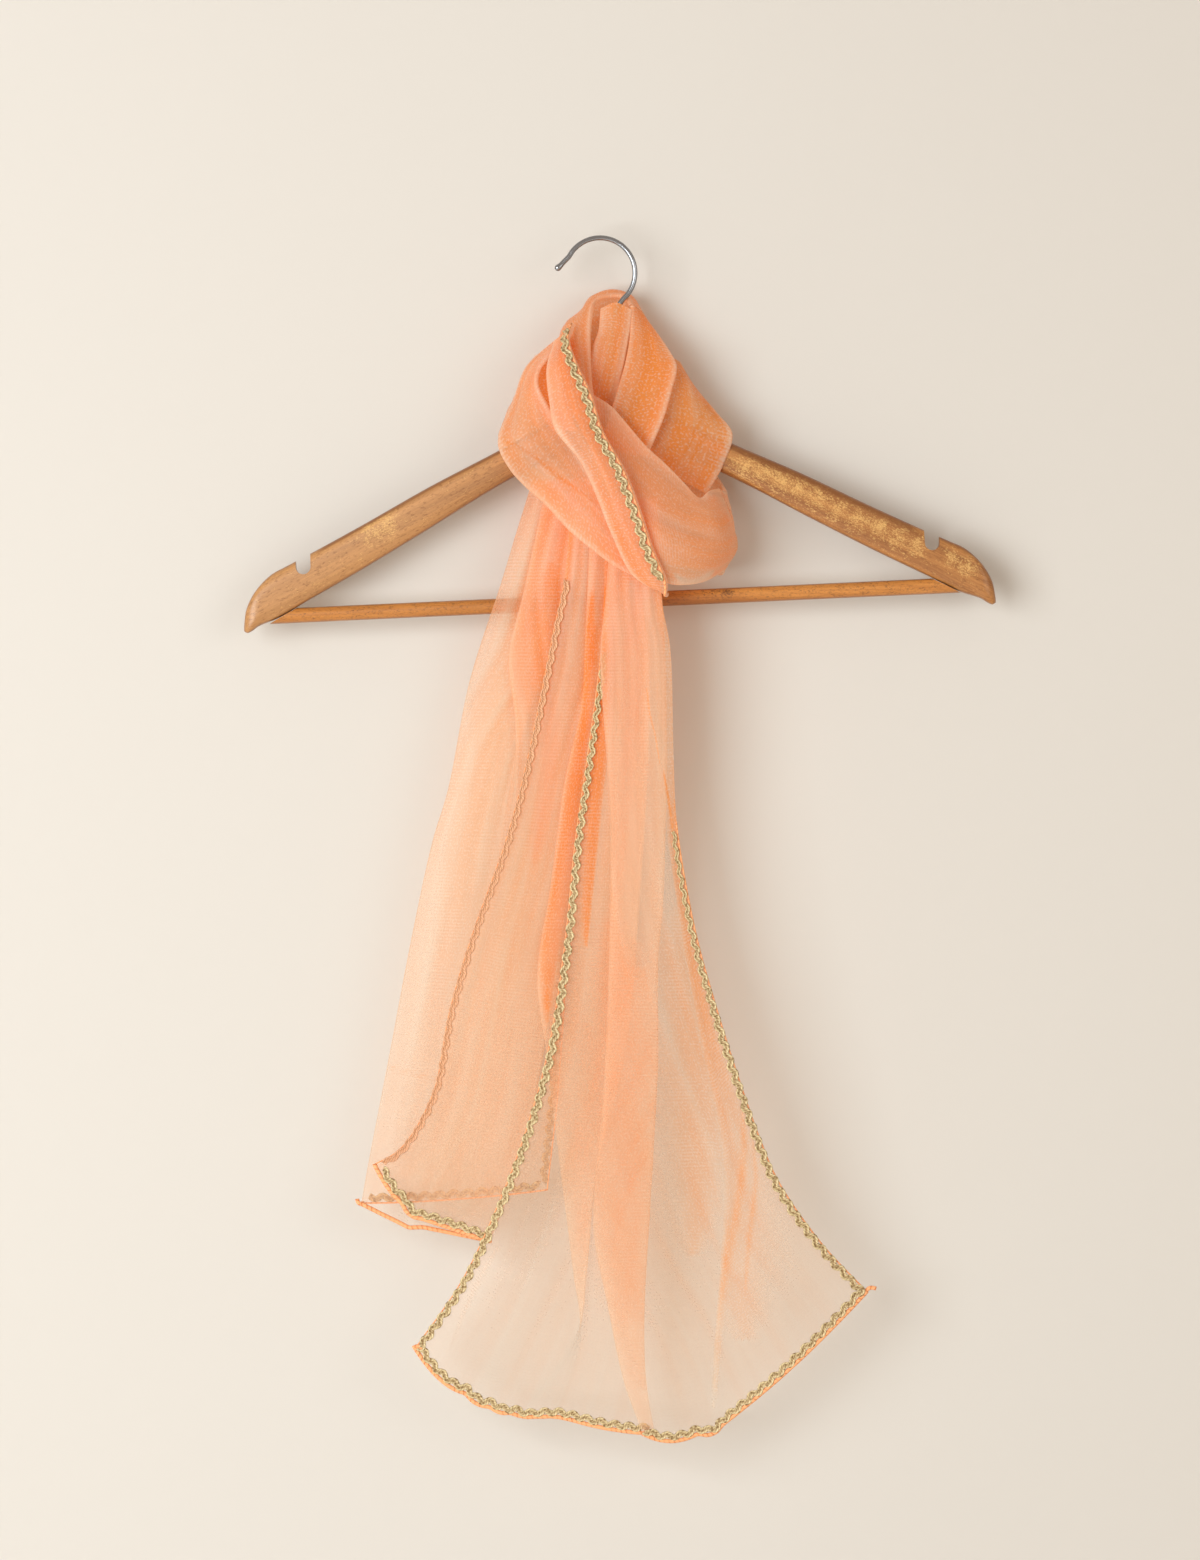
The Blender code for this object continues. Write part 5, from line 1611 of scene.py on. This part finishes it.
    def build_short_tail(self) -> None:
        """Builds the short hanging end, where the flap shows its side braid from the back."""
        cloth = self.tail_short.surface()
        fold = self.tail_short.folds["left fold"]
        back_panel, flap = cloth.part(0, fold - 2), cloth.part(self.tail_short.folds["right fold"] + 3, None)
        back_hem, front_hem = cloth.part(0, fold - 5), cloth.part(fold - 6, None)
        trims = [
            self.braid("trim_short_side", flap, Side.RIGHT, (60, 5), 1.0, self.reverse, 2.0,
                       Gimp(0.7, 0.9, clearance=0.3)),
            self.braid("trim_short_hem", flap, Side.HEM, (3, 5), 1.0),
            self.braid("trim_back_side", back_panel, Side.LEFT, (150, 5), gold=self.shaded),
            self.braid("trim_back_hem", back_panel, Side.HEM, (5, 4)),
            self.piping("short_edge_front", cloth, Side.RIGHT, 0.35, 57.0),
            self.piping("short_edge_back", cloth, Side.LEFT, 0.4, 145.0),
            self.piping("short_edge_hem", front_hem, Side.HEM, 1.25),
            self.piping("short_edge_hem_back", back_hem, Side.HEM, 0.5),
            self.thread_end("short_thread_left", cloth.grid[-1, fold], (-2.2, 1.6)),
        ]
        piece = self.sheet(self.tail_short.name, cloth)

    def build_wound(self, stretch: WoundStretch) -> None:
        """Builds one wound stretch, with the braid where its edge shows."""
        cloth = stretch.surface()
        trims = []
        if stretch.name == "wrap_mid":
            flat = cloth.part(stretch.roll_steps, -stretch.roll_steps)
            trims = [self.braid("trim_wrap", flat, Side.RIGHT, (3, 12), inset=3.5),
                     self.piping("wrap_edge", flat, Side.RIGHT)]
        piece = self.sheet(stretch.name, cloth)
        cloth.size()


# ---------------------------------------------------------------- the studio
@dataclass
class Studio:
    """A pale wall and floor, soft lights and a level camera with a long lens.  Lengths are in metres."""

    wall_at: float = 0.025
    wall_half_width: float = 1.5
    wall_top: float = 0.9
    floor_at: float = -1.65
    floor_half_width: float = 3.0
    wall_colour: str = "#D4D3CD"
    wall_roughness: float = 0.9
    plaster_scale: float = 420.0
    plaster_bump: tuple[float, float] = (0.05, 0.4)
    floor_colour: str = "#EDE8E0"
    floor_roughness: Ramp = (0.0, 1.0, 0.75, 0.95)
    air_colour: str = "#FFE7D2"
    air_strength: float = 0.51
    lamps: tuple[Lamp, ...] = (Lamp("key", (-1.5, -2.1, -0.20), 1.7, 57.0, "#FBFDFF"),
                               Lamp("fill", (1.9, -2.4, 0.1), 1.6, 13.0, "#FFFDFA"))
    centre: tuple[float, float] = (-0.0012, -0.3192)
    frame_height: float = 0.9204  # what the camera sees of the plane that it is sized for
    frame_plane: float = -0.01
    distance: float = 3.5  # from that plane
    sensor_height: float = 36.0

    def build(self) -> None:
        """Builds the stage, the lights and the camera."""
        self.build_wall()
        self.build_floor()
        self.build_lights()
        self.build_camera()

    @staticmethod
    def flat(name: str, corners: Points, material: Material) -> None:
        """Sets up one flat piece of the stage."""
        piece = mesh_object(name, np.array(corners) / MM, [(0, 1, 2, 3)])
        piece.data.materials.append(material)

    def build_wall(self) -> None:
        """Puts up a matt painted wall that is seen from the front alone."""
        make = Shading("matt_wall_paint")
        plaster = make.noise(make.add("TexCoord").outputs["Object"], self.plaster_scale, 3.0)
        paint = make.finish(Base_Color=srgb(self.wall_colour), Roughness=self.wall_roughness,
                            Normal=make.bump(plaster, *self.plaster_bump))
        back = make.add("NewGeometry").outputs["Backfacing"]
        gap = make.add("BsdfTransparent").outputs[0]
        make.show(make.between(make.shader.outputs[0], gap, back))
        left, right, y = -self.wall_half_width, self.wall_half_width, self.wall_at
        self.flat("wall", ((left, y, self.floor_at), (right, y, self.floor_at),
                           (right, y, self.wall_top), (left, y, self.wall_top)), paint)

    def build_floor(self) -> None:
        """Lays the plain pale floor."""
        make = Shading("pale_floor")
        mottle = make.noise(make.add("TexCoord").outputs["Object"], 3.0, 2.0)
        paint = make.finish(Base_Color=srgb(self.floor_colour),
                            Roughness=make.ramp(mottle, *self.floor_roughness))
        out, z = self.floor_half_width, self.floor_at
        self.flat("floor", ((-out, -out, z), (out, -out, z), (out, out, z), (-out, out, z)), paint)

    def build_lights(self) -> None:
        """Hangs a large soft key light on the left and a weak fill on the right."""
        world = bpy.data.worlds.new("studio_air")
        world.use_nodes = True
        backdrop = world.node_tree.nodes["Background"]
        backdrop.inputs["Color"].default_value = srgb(self.air_colour)
        backdrop.inputs["Strength"].default_value = self.air_strength
        bpy.context.scene.world = world
        for lamp in self.lamps:
            data = bpy.data.lights.new(lamp.name, "AREA")
            data.size = lamp.size
            data.energy = lamp.power
            data.color = srgb(lamp.colour)[:3]
            light = bpy.data.objects.new(lamp.name, data)
            light.location = lamp.place
            aim = Vector((self.centre[0], 0.0, self.centre[1])) - light.location
            light.rotation_euler = aim.to_track_quat("-Z", "Y").to_euler()
            bpy.context.scene.collection.objects.link(light)

    def build_camera(self) -> None:
        """Sets up the level camera straight in front."""
        data = bpy.data.cameras.new("camera")
        data.sensor_fit = "VERTICAL"
        data.sensor_height = self.sensor_height
        data.lens = self.sensor_height * self.distance / self.frame_height
        camera = bpy.data.objects.new("camera", data)
        camera.location = (self.centre[0], self.frame_plane - self.distance, self.centre[1])
        camera.rotation_euler = (math.pi / 2, 0.0, 0.0)
        bpy.context.scene.collection.objects.link(camera)
        bpy.context.scene.camera = camera


def main() -> None:
    """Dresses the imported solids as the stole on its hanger."""
    logging.basicConfig(level=logging.INFO, format="%(name)s: %(message)s")
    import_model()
    scene = bpy.context.scene
    scene.cycles.transparent_max_bounces = 48
    scene.view_settings.view_transform = "Standard"
    Hanger().build()
    Stole().build()
    Studio().build()


if __name__ == "__main__":
    main()
